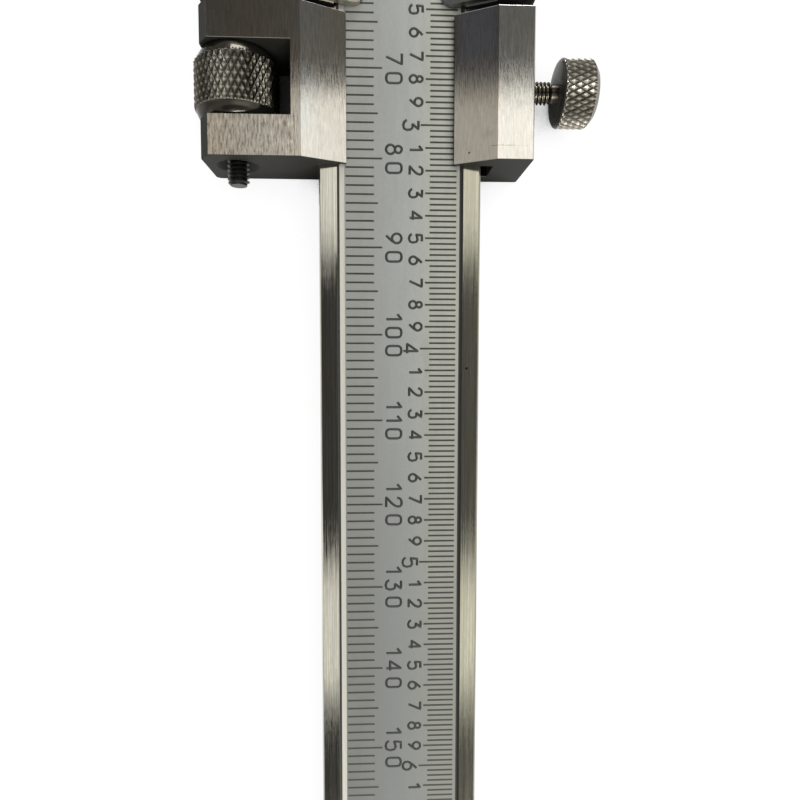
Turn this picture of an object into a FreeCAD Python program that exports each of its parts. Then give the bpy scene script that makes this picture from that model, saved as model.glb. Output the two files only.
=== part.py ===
import FreeCAD, Part
import math
import os

# Vernier caliper with fine adjustment, closed, in millimetres.
# X runs along the beam and equals the reading: X = 0 is the zero of the millimetre scale.
# Y points to the inch edge, the clamp screws and the knife-edge jaws.
# Z points out of the scale face; Z = 0 is the back face of the slider and the carriage.

# Beam
BEAM_WIDTH = 18.5
BEAM_THICKNESS = 3.9
BEAM_EDGE_CHAMFER = 0.2
RECESS_DEPTH = 0.3
RECESS_METRIC_FLOOR_Y = 6.54
RECESS_METRIC_RIM_Y = 7.20
RECESS_INCH_FLOOR_Y = 7.02
RECESS_INCH_RIM_Y = 7.27
READING_RANGE = 200.0
JAW_PLANE_X = -8.0
JAW_GAP = 0.02

# Nib jaws, below the beam
NIB_JAW_LENGTH = 52.0
NIB_JAW_ROOT_WIDTH = 18.0
NIB_JAW_SHOULDER_WIDTH = 9.0
NIB_LENGTH = 12.0
NIB_WIDTH = 5.0
NIB_RADIUS = 3.2
NIB_SHOULDER_RISE = 4.5
NIB_TIP_RADIUS = 0.8
NIB_INNER_TIP_RADIUS = 0.3
JAW_ROOT_DROP = 9.0
JAW_ROOT_RADIUS = 14.0
JAW_CORNER_RADIUS = 2.0
HEAD_RISE = 3.0
RELIEF_RADIUS = 0.9

# Knife-edge jaws, above the beam
BLADE_LENGTH = 31.0
BLADE_ROOT_WIDTH = 15.0
BLADE_TIP_WIDTH = 1.3
BLADE_TIP_RADIUS = 0.4
BLADE_BEVEL_WIDTH = 5.0
BLADE_EDGE_THICKNESS = 0.6
BLADE_BEVEL_START = 7.5
BEVEL_RUNOUT = 3.0
BEVEL_START_WIDTH = 0.25

# Cross-section of the slider and the carriage
FRAME_THICKNESS = 8.9
BACK_WALL = 2.25
NUT_SIDE_Y = 22.07
SCREW_SIDE_Y = 14.72
RIDGE_METRIC_Y = 10.90
RIDGE_INCH_Y = 10.65
CARRIAGE_LIP_Y = 6.08
LIP_EDGE = 0.4
NUT_SIDE_CHAMFER_Y = 1.17
NUT_SIDE_CHAMFER_Z = 1.6
BACK_CHAMFER = 0.4
SCREW_SIDE_CHAMFER = 0.15
SPRING_GAP = 1.35

# Slider
SLIDER_X0 = -7.5
SLIDER_X1 = 63.5
GRIP_SIDE_Y = 15.0
LUG_LENGTH = 8.5
LUG_FLARE = 8.0
GRIP_RADIUS = 9.0
LUG_CORNER_RADIUS = 1.2
SLIDER_LIP_Y = 7.4
SLIDER_CORNER_RADIUS = 0.8

# Vernier plates
PLATE_THICKNESS = 0.9
PLATE_METRIC_LIP_Y = 4.06
PLATE_INCH_LIP_Y = 4.55
PLATE_EDGE_TOP = 0.45
PLATE_SCALE_GAP = 0.12
PLATE_INSET = 0.1
PLATE_X0 = -6.0
PLATE_CORNER_RADIUS = 1.3
PLATE_SCREW_Y = 9.3
PLATE_SCREW_MARGIN = 3.0
PLATE_SCREW_RADIUS = 0.8
PLATE_SCREW_HEAD_RADIUS = 1.4
PLATE_SCREW_LENGTH = 1.95

# Carriage
CARRIAGE_GAP = 0.9
CARRIAGE_LENGTH = 16.4
WINDOW_OFFSET = 4.1
WINDOW_LENGTH = 7.9
WINDOW_WALL_Y = 12.0

# Fine-adjust screw and nut
SCREW_AXIS_Y = 18.5
SCREW_AXIS_Z = 4.8
SCREW_RADIUS = 1.25
SCREW_TAIL = 1.9
SCREW_TAIL_CHAMFER = 0.35
SCREW_SEAT_DEPTH = 6.6
SCREW_HOLE_RADIUS = 1.5
COUNTERSINK_RADIUS = 2.4
COUNTERSINK_DEPTH = 0.9
PIN_RADIUS = 0.6
PIN_FROM_FACE = 3.6
NUT_RADIUS = 4.75
NUT_END_PLAY = 0.2
NUT_CHAMFER_LENGTH = 1.15
NUT_CHAMFER_DEPTH = 1.0
FINE_TRAVEL = 6.0

# Clamp screws and their pads
CLAMP_AXIS_Z = 4.5
CLAMP_RADIUS = 1.25
CLAMP_NECK_RADIUS = 1.08
CLAMP_THREAD_OUT = 1.9
CLAMP_NECK_LENGTH = 1.7
CLAMP_TIP_CHAMFER = 0.25
KNOB_RADIUS = 3.8
KNOB_LENGTH = 4.2
KNOB_INNER_CHAMFER = 0.25
KNOB_OUTER_CHAMFER_LENGTH = 0.6
KNOB_OUTER_CHAMFER_DEPTH = 0.8
PAD_LENGTH = 1.5
PAD_GAP = 0.15
CARRIAGE_CLAMP_OFFSET = 7.5
SLIDER_CLAMP_X = 38.0

# Leaf spring of the carriage, gib strip and gib screws of the slider
LEAF_THICKNESS = 0.3
LEAF_END_MARGIN = 1.5
GIB_THICKNESS = 0.8
GIB_END_MARGIN = 2.0
GIB_SCREW_RADIUS = 1.0
GIB_SCREW_MARGIN = 12.0
GIB_SCREW_SUNK = 0.6
GIB_SCREW_CHAMFER = 0.25
GIB_SCREW_SLOT_WIDTH = 0.4
GIB_SCREW_SLOT_DEPTH = 0.6

# Stop plate at the end of the beam
STOP_LENGTH = 6.0
STOP_MARGIN = 0.7
STOP_WIDTH = 14.0
STOP_CORNER_RADIUS = 1.0
STOP_SCREW_SPACING = 8.0
STOP_SCREW_RADIUS = 1.0
STOP_SCREW_HEAD_RADIUS = 1.9
STOP_SCREW_DEPTH = 2.4
STOP_SCREW_SLOT_WIDTH = 0.5
STOP_SCREW_SLOT_DEPTH = 0.6

# Named clearances
SLIDE_CLEARANCE = 0.05
FIXED_CLEARANCE = 0.02
THREAD_CLEARANCE = 0.05
SOFT_CLEARANCE = 0.2
OVERCUT = 1.0

# Levels and places that follow from the sizes above
BEAM_BACK = BACK_WALL + SLIDE_CLEARANCE
RAIL_TOP = BEAM_BACK + BEAM_THICKNESS
SCALE_FACE = RAIL_TOP - RECESS_DEPTH
SLOT_ROOF = RAIL_TOP + SLIDE_CLEARANCE
HALF_BEAM = BEAM_WIDTH / 2
SLOT_METRIC_Y = HALF_BEAM + SLIDE_CLEARANCE
SLOT_INCH_Y = HALF_BEAM + SPRING_GAP
CARRIAGE_X0 = SLIDER_X1 + CARRIAGE_GAP
CARRIAGE_X1 = CARRIAGE_X0 + CARRIAGE_LENGTH
WINDOW_X0 = CARRIAGE_X0 + WINDOW_OFFSET
WINDOW_X1 = WINDOW_X0 + WINDOW_LENGTH
CARRIAGE_CLAMP_X = CARRIAGE_X0 + CARRIAGE_CLAMP_OFFSET
STOP_X0 = CARRIAGE_X1 + FINE_TRAVEL + READING_RANGE + STOP_MARGIN
BEAM_END_X = STOP_X0 + STOP_LENGTH
PLATE_X1 = SLIDER_X1 - PLATE_INSET

Vector = FreeCAD.Vector
X_AXIS = Vector(1, 0, 0)
Y_AXIS = Vector(0, 1, 0)
Z_AXIS = Vector(0, 0, 1)


def closed_face(points):
    """A flat face with straight edges through the points."""
    return Part.Face(Part.makePolygon(points + [points[0]]))


def prism_along_x(outline, x0, x1):
    """A prism from x0 to x1 over an outline of (y, z) points."""
    face = closed_face([Vector(x0, y, z) for y, z in outline])
    return face.extrude(Vector(x1 - x0, 0, 0))


def rounded_outline(corners):
    """A closed wire in the XY plane through (x, y, radius) corners, with a tangent arc at each radius."""
    starts, ends, middles = [], [], []
    count = len(corners)
    for i in range(count):
        x, y, radius = corners[i]
        corner = Vector(x, y, 0)
        before = Vector(corners[i - 1][0], corners[i - 1][1], 0) - corner
        after = Vector(corners[(i + 1) % count][0], corners[(i + 1) % count][1], 0) - corner
        before.normalize()
        after.normalize()
        half_angle = before.getAngle(after) / 2
        setback = radius / math.tan(half_angle)
        bisector = before + after
        bisector.normalize()
        starts.append(corner + before * setback)
        ends.append(corner + after * setback)
        middles.append(corner + bisector * (radius / math.sin(half_angle) - radius))
    edges = []
    for i in range(count):
        if corners[i][2] > 0:
            edges.append(Part.Arc(starts[i], middles[i], ends[i]).toShape())
        edges.append(Part.LineSegment(ends[i], starts[(i + 1) % count]).toShape())
    return Part.Wire(edges)


def plate_between(corners, z0, z1):
    """A flat plate with rounded corners, from z0 to z1."""
    plate = Part.Face(rounded_outline(corners)).extrude(Vector(0, 0, z1 - z0))
    plate.translate(Vector(0, 0, z0))
    return plate


def block(x0, x1, y0, y1, z0, z1):
    """A box between two corners."""
    return Part.makeBox(x1 - x0, y1 - y0, z1 - z0, Vector(x0, y0, z0))


def rod(start, direction, radius, length):
    """A plain round rod."""
    return Part.makeCylinder(radius, length, start, direction)


def turned(start, direction, profile):
    """A turned piece: profile is a list of (distance along the axis, radius)."""
    points = [Vector(radius, 0, along) for along, radius in profile]
    closing = [Vector(0, 0, profile[-1][0]), Vector(0, 0, profile[0][0])]
    solid = closed_face(points + closing).revolve(Vector(0, 0, 0), Z_AXIS, 360)
    solid.Placement = FreeCAD.Placement(start, FreeCAD.Rotation(Z_AXIS, direction))
    return solid


def jaw_plate(corners, side, y_sign, z0, z1):
    """A jaw from (distance from the measuring plane, distance from the beam's edge, radius) corners."""
    placed = []
    for away, out, radius in corners:
        x = JAW_PLANE_X + side * (away + JAW_GAP / 2)
        y = y_sign * (HALF_BEAM + out)
        placed.append((x, y, radius))
    return plate_between(placed, z0, z1)


def nib_rounding(side):
    """The material that is ground away to give the nib its round outer face."""
    x_face = JAW_PLANE_X + side * JAW_GAP / 2
    x_centre = x_face + side * (NIB_WIDTH - NIB_RADIUS)
    x_outside = x_face + side * (NIB_WIDTH + OVERCUT)
    tip_y = -(HALF_BEAM + NIB_JAW_LENGTH)
    top_y = tip_y + NIB_LENGTH
    x_low, x_high = sorted((x_centre, x_outside))
    middle_z = (BEAM_BACK + RAIL_TOP) / 2
    waste = block(x_low, x_high, tip_y - OVERCUT, top_y, BEAM_BACK - OVERCUT, RAIL_TOP + OVERCUT)
    start = Vector(x_centre, tip_y - 2 * OVERCUT, middle_z)
    return waste.cut(rod(start, Y_AXIS, NIB_RADIUS, NIB_LENGTH + 3 * OVERCUT))


def nib_jaw(side, root_depth):
    """A nib jaw below the beam: tapered arm, shoulder, and a nib with a round outer face."""
    corners = [
        (0, -root_depth, 0),
        (0, NIB_JAW_LENGTH, NIB_INNER_TIP_RADIUS),
        (NIB_WIDTH, NIB_JAW_LENGTH, NIB_TIP_RADIUS),
        (NIB_WIDTH, NIB_JAW_LENGTH - NIB_LENGTH, 0),
        (NIB_JAW_SHOULDER_WIDTH, NIB_JAW_LENGTH - NIB_LENGTH - NIB_SHOULDER_RISE, JAW_CORNER_RADIUS),
        (NIB_JAW_ROOT_WIDTH, JAW_ROOT_DROP, JAW_ROOT_RADIUS),
        (NIB_JAW_ROOT_WIDTH, -root_depth, 0),
    ]
    return jaw_plate(corners, side, -1, BEAM_BACK, RAIL_TOP).cut(nib_rounding(side))


def blade_bevel(side, z_face, z_sign):
    """The ground bevel that brings one face of a knife-edge jaw down to its thin edge."""
    x_edge = JAW_PLANE_X + side * JAW_GAP / 2
    depth = (BEAM_THICKNESS - BLADE_EDGE_THICKNESS) / 2
    slope = depth / BLADE_BEVEL_WIDTH
    start_y = HALF_BEAM + BLADE_BEVEL_START
    end_y = HALF_BEAM + BLADE_LENGTH + OVERCUT

    def section(y, width):
        return Part.makePolygon(
            [
                Vector(x_edge - side * OVERCUT, y, z_face - z_sign * (width + OVERCUT) * slope),
                Vector(x_edge + side * width, y, z_face),
                Vector(x_edge + side * width, y, z_face + z_sign * OVERCUT),
                Vector(x_edge - side * OVERCUT, y, z_face + z_sign * OVERCUT),
                Vector(x_edge - side * OVERCUT, y, z_face - z_sign * (width + OVERCUT) * slope),
            ]
        )

    runout = Part.makeLoft(
        [section(start_y, BEVEL_START_WIDTH), section(start_y + BEVEL_RUNOUT, BLADE_BEVEL_WIDTH)], True
    )
    main = Part.Face(section(start_y + BEVEL_RUNOUT, BLADE_BEVEL_WIDTH))
    main = main.extrude(Vector(0, end_y - start_y - BEVEL_RUNOUT, 0))
    return runout.fuse(main)


def blade_jaw(side, root_depth):
    """A knife-edge jaw above the beam: a tapered blade with its edge thinned from both faces."""
    corners = [
        (0, -root_depth, 0),
        (0, BLADE_LENGTH, BLADE_TIP_RADIUS),
        (BLADE_TIP_WIDTH, BLADE_LENGTH, BLADE_TIP_RADIUS),
        (BLADE_ROOT_WIDTH, JAW_ROOT_DROP, JAW_ROOT_RADIUS),
        (BLADE_ROOT_WIDTH, -root_depth, 0),
    ]
    jaw = jaw_plate(corners, side, 1, BEAM_BACK, RAIL_TOP)
    for z_face, z_sign in ((RAIL_TOP, 1), (BEAM_BACK, -1)):
        jaw = jaw.cut(blade_bevel(side, z_face, z_sign))
    return jaw


def relief_notches(side):
    """The half-round notches where the measuring faces meet the beam's edges."""
    x = JAW_PLANE_X + side * JAW_GAP / 2
    notches = []
    for sign in (-1, 1):
        start = Vector(x, sign * (HALF_BEAM + RELIEF_RADIUS), BEAM_BACK - OVERCUT)
        notches.append(rod(start, Z_AXIS, RELIEF_RADIUS, BEAM_THICKNESS + 2 * OVERCUT))
    return Part.makeCompound(notches)


def stop_screw_places():
    """Centres of the two stop screws."""
    x = STOP_X0 + STOP_LENGTH / 2
    return [(x, sign * STOP_SCREW_SPACING / 2) for sign in (-1, 1)]


def main_beam():
    """The beam with its recessed scale face, and the two fixed jaws at its left end."""
    half = HALF_BEAM
    edge = BEAM_EDGE_CHAMFER
    outline = [
        (-half + edge, BEAM_BACK),
        (-half, BEAM_BACK + edge),
        (-half, RAIL_TOP - edge),
        (-half + edge, RAIL_TOP),
        (-RECESS_METRIC_RIM_Y, RAIL_TOP),
        (-RECESS_METRIC_FLOOR_Y, SCALE_FACE),
        (RECESS_INCH_FLOOR_Y, SCALE_FACE),
        (RECESS_INCH_RIM_Y, RAIL_TOP),
        (half - edge, RAIL_TOP),
        (half, RAIL_TOP - edge),
        (half, BEAM_BACK + edge),
        (half - edge, BEAM_BACK),
    ]
    jaw_face_x = JAW_PLANE_X - JAW_GAP / 2
    beam = prism_along_x(outline, jaw_face_x, BEAM_END_X)
    head = plate_between(
        [
            (jaw_face_x, -half, 0),
            (jaw_face_x, half + HEAD_RISE, 0),
            (jaw_face_x - BLADE_ROOT_WIDTH, half + HEAD_RISE, 0),
            (jaw_face_x - NIB_JAW_ROOT_WIDTH, -half / 2, 0),
            (jaw_face_x - NIB_JAW_ROOT_WIDTH, -half, 0),
        ],
        BEAM_BACK,
        RAIL_TOP,
    )
    beam = beam.fuse(head).fuse(nib_jaw(-1, half / 2)).fuse(blade_jaw(-1, half / 2)).removeSplitter()
    beam = beam.cut(relief_notches(-1))
    for x, y in stop_screw_places():
        beam = beam.cut(
            rod(Vector(x, y, BEAM_BACK - OVERCUT), Z_AXIS, STOP_SCREW_RADIUS + FIXED_CLEARANCE,
                STOP_SCREW_DEPTH + FIXED_CLEARANCE + OVERCUT)
        )
    return beam


def beam_end_stop():
    """The plate on the back of the beam's end that keeps the slider on the beam."""
    half = STOP_WIDTH / 2
    stop = plate_between(
        [
            (STOP_X0, -half, STOP_CORNER_RADIUS),
            (BEAM_END_X, -half, STOP_CORNER_RADIUS),
            (BEAM_END_X, half, STOP_CORNER_RADIUS),
            (STOP_X0, half, STOP_CORNER_RADIUS),
        ],
        0,
        BEAM_BACK,
    )
    for x, y in stop_screw_places():
        stop = stop.cut(countersunk_screw(x, y, FIXED_CLEARANCE))
    return stop


def countersunk_screw(x, y, grow):
    """A stop screw, head down at Z = 0; grow enlarges it to cut its own seat."""
    head = STOP_SCREW_HEAD_RADIUS + grow
    shank = STOP_SCREW_RADIUS + grow
    head_height = STOP_SCREW_HEAD_RADIUS - STOP_SCREW_RADIUS
    profile = [
        (-grow, head),
        (grow, head),
        (head_height + grow, shank),
        (BEAM_BACK + STOP_SCREW_DEPTH, shank),
    ]
    return turned(Vector(x, y, 0), Z_AXIS, profile)


def end_stop_screws():
    """The two countersunk screws of the stop plate, with their slots."""
    screws = []
    for x, y in stop_screw_places():
        screw = countersunk_screw(x, y, 0)
        reach = STOP_SCREW_HEAD_RADIUS + OVERCUT
        slot = block(
            x - reach, x + reach, y - STOP_SCREW_SLOT_WIDTH / 2, y + STOP_SCREW_SLOT_WIDTH / 2,
            -OVERCUT, STOP_SCREW_SLOT_DEPTH,
        )
        screws.append(screw.cut(slot))
    return Part.makeCompound(screws)


def frame_section():
    """Outer (y, z) outline shared by the slider and the carriage."""
    return [
        (-NUT_SIDE_Y + BACK_CHAMFER, 0),
        (-NUT_SIDE_Y, BACK_CHAMFER),
        (-NUT_SIDE_Y, FRAME_THICKNESS - NUT_SIDE_CHAMFER_Z),
        (-NUT_SIDE_Y + NUT_SIDE_CHAMFER_Y, FRAME_THICKNESS),
        (SCREW_SIDE_Y - SCREW_SIDE_CHAMFER, FRAME_THICKNESS),
        (SCREW_SIDE_Y, FRAME_THICKNESS - SCREW_SIDE_CHAMFER),
        (SCREW_SIDE_Y, SCREW_SIDE_CHAMFER),
        (SCREW_SIDE_Y - SCREW_SIDE_CHAMFER, 0),
    ]


def beam_passage():
    """(y, z) outline of the slot that the beam and its spring or gib run in."""
    return [
        (-SLOT_METRIC_Y, BACK_WALL),
        (-SLOT_METRIC_Y, SLOT_ROOF),
        (SLOT_INCH_Y, SLOT_ROOF),
        (SLOT_INCH_Y, BACK_WALL),
    ]


def carriage_opening():
    """(y, z) outline of the open front between the carriage's two slopes."""
    lip_top = SLOT_ROOF + LIP_EDGE
    return [
        (-RIDGE_METRIC_Y, FRAME_THICKNESS),
        (-CARRIAGE_LIP_Y, lip_top),
        (-CARRIAGE_LIP_Y, SLOT_ROOF - SLIDE_CLEARANCE),
        (CARRIAGE_LIP_Y, SLOT_ROOF - SLIDE_CLEARANCE),
        (CARRIAGE_LIP_Y, lip_top),
        (RIDGE_INCH_Y, FRAME_THICKNESS),
        (RIDGE_INCH_Y, FRAME_THICKNESS + OVERCUT),
        (-RIDGE_METRIC_Y, FRAME_THICKNESS + OVERCUT),
    ]


def plate_slope(lip_y, ridge_y):
    """Rise per millimetre of a vernier plate's top face."""
    return (FRAME_THICKNESS - SCALE_FACE - PLATE_EDGE_TOP) / (ridge_y - lip_y)


def plate_drop(lip_y, ridge_y):
    """Height from a vernier plate's top face straight down to its underside."""
    return PLATE_THICKNESS * math.hypot(1, plate_slope(lip_y, ridge_y))


def plate_top(y, lip_y, ridge_y):
    """Height of a vernier plate's top face at a distance y from the beam's centre line."""
    return SCALE_FACE + PLATE_EDGE_TOP + (y - lip_y) * plate_slope(lip_y, ridge_y)


def plate_seat(y, lip_y, ridge_y):
    """Height of the seat under a vernier plate."""
    return plate_top(y, lip_y, ridge_y) - plate_drop(lip_y, ridge_y)


def slider_opening():
    """(y, z) outline of the open front of the slider, with the seats of the two vernier plates."""
    points = []
    sides = ((-1, PLATE_METRIC_LIP_Y, RIDGE_METRIC_Y), (1, PLATE_INCH_LIP_Y, RIDGE_INCH_Y))
    for sign, lip_y, ridge_y in sides:
        side = [
            (sign * ridge_y, FRAME_THICKNESS + OVERCUT),
            (sign * ridge_y, plate_seat(ridge_y, lip_y, ridge_y)),
            (sign * SLIDER_LIP_Y, plate_seat(SLIDER_LIP_Y, lip_y, ridge_y)),
            (sign * SLIDER_LIP_Y, SLOT_ROOF - SLIDE_CLEARANCE),
        ]
        points += side if sign < 0 else side[::-1]
    return points


def clamp_bore(x):
    """The threaded bore of a clamp screw, from the beam slot out through the side wall."""
    start = Vector(x, SLOT_INCH_Y - OVERCUT, CLAMP_AXIS_Z)
    length = SCREW_SIDE_Y - SLOT_INCH_Y + 2 * OVERCUT
    return rod(start, Y_AXIS, CLAMP_RADIUS + THREAD_CLEARANCE, length)


def gib_screw_places():
    """X of the two gib screws."""
    return [SLIDER_X0 + GIB_SCREW_MARGIN, SLIDER_X1 - GIB_SCREW_MARGIN]


def slider_frame():
    """The slider's frame with its two moving jaws, grip, and the lug of the fine-adjust screw."""
    corner = SLIDER_CORNER_RADIUS
    body = plate_between(
        [
            (SLIDER_X0, SCREW_SIDE_Y, corner),
            (SLIDER_X0, -GRIP_SIDE_Y, corner),
            (SLIDER_X1 - LUG_LENGTH - LUG_FLARE, -GRIP_SIDE_Y, GRIP_RADIUS),
            (SLIDER_X1 - LUG_LENGTH, -NUT_SIDE_Y, LUG_CORNER_RADIUS),
            (SLIDER_X1, -NUT_SIDE_Y, 0),
            (SLIDER_X1, SCREW_SIDE_Y, 0),
        ],
        0,
        FRAME_THICKNESS,
    )
    body = body.common(prism_along_x(frame_section(), SLIDER_X0, SLIDER_X1))
    jaws = nib_jaw(1, -SLIDE_CLEARANCE).fuse(blade_jaw(1, -SPRING_GAP))
    frame = body.fuse(jaws).cut(relief_notches(1))
    x0 = SLIDER_X0 - OVERCUT
    x1 = SLIDER_X1 + OVERCUT
    frame = frame.cut(prism_along_x(beam_passage(), x0, x1)).cut(prism_along_x(slider_opening(), x0, x1))
    frame = frame.cut(clamp_bore(SLIDER_CLAMP_X))
    for x in gib_screw_places():
        start = Vector(x, SLOT_INCH_Y - OVERCUT, CLAMP_AXIS_Z)
        length = SCREW_SIDE_Y - SLOT_INCH_Y + 2 * OVERCUT
        bore = rod(start, Y_AXIS, GIB_SCREW_RADIUS + FIXED_CLEARANCE, length)
        frame = frame.cut(bore)
    for screw in vernier_screws(-1, FIXED_CLEARANCE) + vernier_screws(1, FIXED_CLEARANCE):
        frame = frame.cut(screw)
    seat_x = SLIDER_X1 - SCREW_SEAT_DEPTH
    seat = rod(
        Vector(seat_x, -SCREW_AXIS_Y, SCREW_AXIS_Z), X_AXIS, SCREW_RADIUS + FIXED_CLEARANCE,
        SCREW_SEAT_DEPTH + OVERCUT,
    )
    return frame.cut(seat).cut(pin_bore(FIXED_CLEARANCE))


def vernier_plate(sign, lip_y, ridge_y):
    """A bevelled vernier plate on one slope of the slider; its thin edge lies just over the scale."""
    outer_y = ridge_y - FIXED_CLEARANCE
    slope = plate_slope(lip_y, ridge_y)
    under_edge = SCALE_FACE + PLATE_SCALE_GAP
    knee_y = lip_y + (under_edge - plate_seat(lip_y, lip_y, ridge_y)) / slope
    outline = [
        (sign * outer_y, plate_top(outer_y, lip_y, ridge_y)),
        (sign * lip_y, plate_top(lip_y, lip_y, ridge_y)),
        (sign * lip_y, under_edge),
        (sign * knee_y, under_edge),
        (sign * outer_y, plate_seat(outer_y, lip_y, ridge_y)),
    ]
    plate = prism_along_x(outline, PLATE_X0, PLATE_X1)
    radius = PLATE_CORNER_RADIUS
    rounded = plate_between(
        [
            (PLATE_X0, sign * lip_y, radius),
            (PLATE_X1, sign * lip_y, radius),
            (PLATE_X1, sign * outer_y, 0),
            (PLATE_X0, sign * outer_y, 0),
        ],
        SCALE_FACE,
        FRAME_THICKNESS + OVERCUT,
    )
    plate = plate.common(rounded)
    for screw in vernier_screws(sign, FIXED_CLEARANCE):
        plate = plate.cut(screw)
    return plate


def vernier_screws(sign, grow):
    """The two small countersunk screws of one vernier plate, square to its sloped face."""
    lip_y, ridge_y = (PLATE_METRIC_LIP_Y, RIDGE_METRIC_Y) if sign < 0 else (PLATE_INCH_LIP_Y, RIDGE_INCH_Y)
    slope = plate_slope(lip_y, ridge_y)
    inward = Vector(0, sign * slope, -1)
    inward.normalize()
    top = plate_top(PLATE_SCREW_Y, lip_y, ridge_y)
    head_height = PLATE_SCREW_HEAD_RADIUS - PLATE_SCREW_RADIUS
    profile = [
        (-grow, PLATE_SCREW_HEAD_RADIUS + grow),
        (grow, PLATE_SCREW_HEAD_RADIUS + grow),
        (head_height + grow, PLATE_SCREW_RADIUS + grow),
        (PLATE_SCREW_LENGTH + grow, PLATE_SCREW_RADIUS + grow),
    ]
    screws = []
    for x in (PLATE_X0 + PLATE_SCREW_MARGIN, PLATE_X1 - PLATE_SCREW_MARGIN):
        screws.append(turned(Vector(x, sign * PLATE_SCREW_Y, top), inward, profile))
    return screws


def gib_strip():
    """The flat brass strip between the beam's edge and the slider's side wall."""
    inner_y = HALF_BEAM + SLIDE_CLEARANCE
    return block(
        SLIDER_X0 + GIB_END_MARGIN, SLIDER_X1 - GIB_END_MARGIN, inner_y, inner_y + GIB_THICKNESS,
        BACK_WALL + SOFT_CLEARANCE, SLOT_ROOF - SOFT_CLEARANCE,
    )


def gib_back_y():
    """Y of the face of the gib strip that the screws press on."""
    return HALF_BEAM + SLIDE_CLEARANCE + GIB_THICKNESS


def gib_screws():
    """The two slotted headless screws that set the play of the gib strip."""
    start_y = gib_back_y() + FIXED_CLEARANCE
    length = SCREW_SIDE_Y - GIB_SCREW_SUNK - start_y
    profile = [
        (0, GIB_SCREW_RADIUS - GIB_SCREW_CHAMFER),
        (GIB_SCREW_CHAMFER, GIB_SCREW_RADIUS),
        (length, GIB_SCREW_RADIUS),
    ]
    screws = []
    for x in gib_screw_places():
        screw = turned(Vector(x, start_y, CLAMP_AXIS_Z), Y_AXIS, profile)
        slot = block(
            x - GIB_SCREW_RADIUS - OVERCUT, x + GIB_SCREW_RADIUS + OVERCUT,
            start_y + length - GIB_SCREW_SLOT_DEPTH, start_y + length + OVERCUT,
            CLAMP_AXIS_Z - GIB_SCREW_SLOT_WIDTH / 2, CLAMP_AXIS_Z + GIB_SCREW_SLOT_WIDTH / 2,
        )
        screws.append(screw.cut(slot))
    return Part.makeCompound(screws)


def pin_bore(grow):
    """The cross pin of the fine-adjust screw; grow enlarges it to cut its own hole."""
    start = Vector(SLIDER_X1 - PIN_FROM_FACE, -SCREW_AXIS_Y, -OVERCUT if grow else SLIDE_CLEARANCE)
    length = FRAME_THICKNESS + (2 * OVERCUT if grow else -2 * SLIDE_CLEARANCE)
    return rod(start, Z_AXIS, PIN_RADIUS + grow, length)


def fine_adjust_screw():
    """The long screw that is pinned in the slider's lug and runs through the carriage and its nut."""
    start_x = SLIDER_X1 - SCREW_SEAT_DEPTH + FIXED_CLEARANCE
    length = CARRIAGE_X1 + SCREW_TAIL - start_x
    profile = [
        (0, SCREW_RADIUS),
        (length - SCREW_TAIL_CHAMFER, SCREW_RADIUS),
        (length, SCREW_RADIUS - SCREW_TAIL_CHAMFER),
    ]
    screw = turned(Vector(start_x, -SCREW_AXIS_Y, SCREW_AXIS_Z), X_AXIS, profile)
    return screw.cut(pin_bore(FIXED_CLEARANCE))


def fine_adjust_nut():
    """The round nut in the carriage's window, with chamfered ends."""
    length = WINDOW_LENGTH - 2 * NUT_END_PLAY
    end_radius = NUT_RADIUS - NUT_CHAMFER_DEPTH
    profile = [
        (0, end_radius),
        (NUT_CHAMFER_LENGTH, NUT_RADIUS),
        (length - NUT_CHAMFER_LENGTH, NUT_RADIUS),
        (length, end_radius),
    ]
    start = Vector(WINDOW_X0 + NUT_END_PLAY, -SCREW_AXIS_Y, SCREW_AXIS_Z)
    nut = turned(start, X_AXIS, profile)
    bore_start = start - X_AXIS * OVERCUT
    return nut.cut(rod(bore_start, X_AXIS, SCREW_RADIUS + THREAD_CLEARANCE, length + 2 * OVERCUT))


def carriage_body():
    """The carriage: a channel round the beam, with the nut's window open to the side."""
    body = prism_along_x(frame_section(), CARRIAGE_X0, CARRIAGE_X1)
    x0 = CARRIAGE_X0 - OVERCUT
    x1 = CARRIAGE_X1 + OVERCUT
    body = body.cut(prism_along_x(beam_passage(), x0, x1)).cut(prism_along_x(carriage_opening(), x0, x1))
    window = block(
        WINDOW_X0, WINDOW_X1, -NUT_SIDE_Y - OVERCUT, -WINDOW_WALL_Y, -OVERCUT, FRAME_THICKNESS + OVERCUT
    )
    body = body.cut(window)
    screw_hole = rod(
        Vector(x0, -SCREW_AXIS_Y, SCREW_AXIS_Z), X_AXIS, SCREW_HOLE_RADIUS, CARRIAGE_LENGTH + 2 * OVERCUT
    )
    body = body.cut(screw_hole)
    for x_face, direction in ((CARRIAGE_X0, X_AXIS), (CARRIAGE_X1, X_AXIS * -1)):
        profile = [(0, COUNTERSINK_RADIUS), (COUNTERSINK_DEPTH, SCREW_HOLE_RADIUS)]
        body = body.cut(turned(Vector(x_face, -SCREW_AXIS_Y, SCREW_AXIS_Z), direction, profile))
    return body.cut(clamp_bore(CARRIAGE_CLAMP_X))


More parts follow.
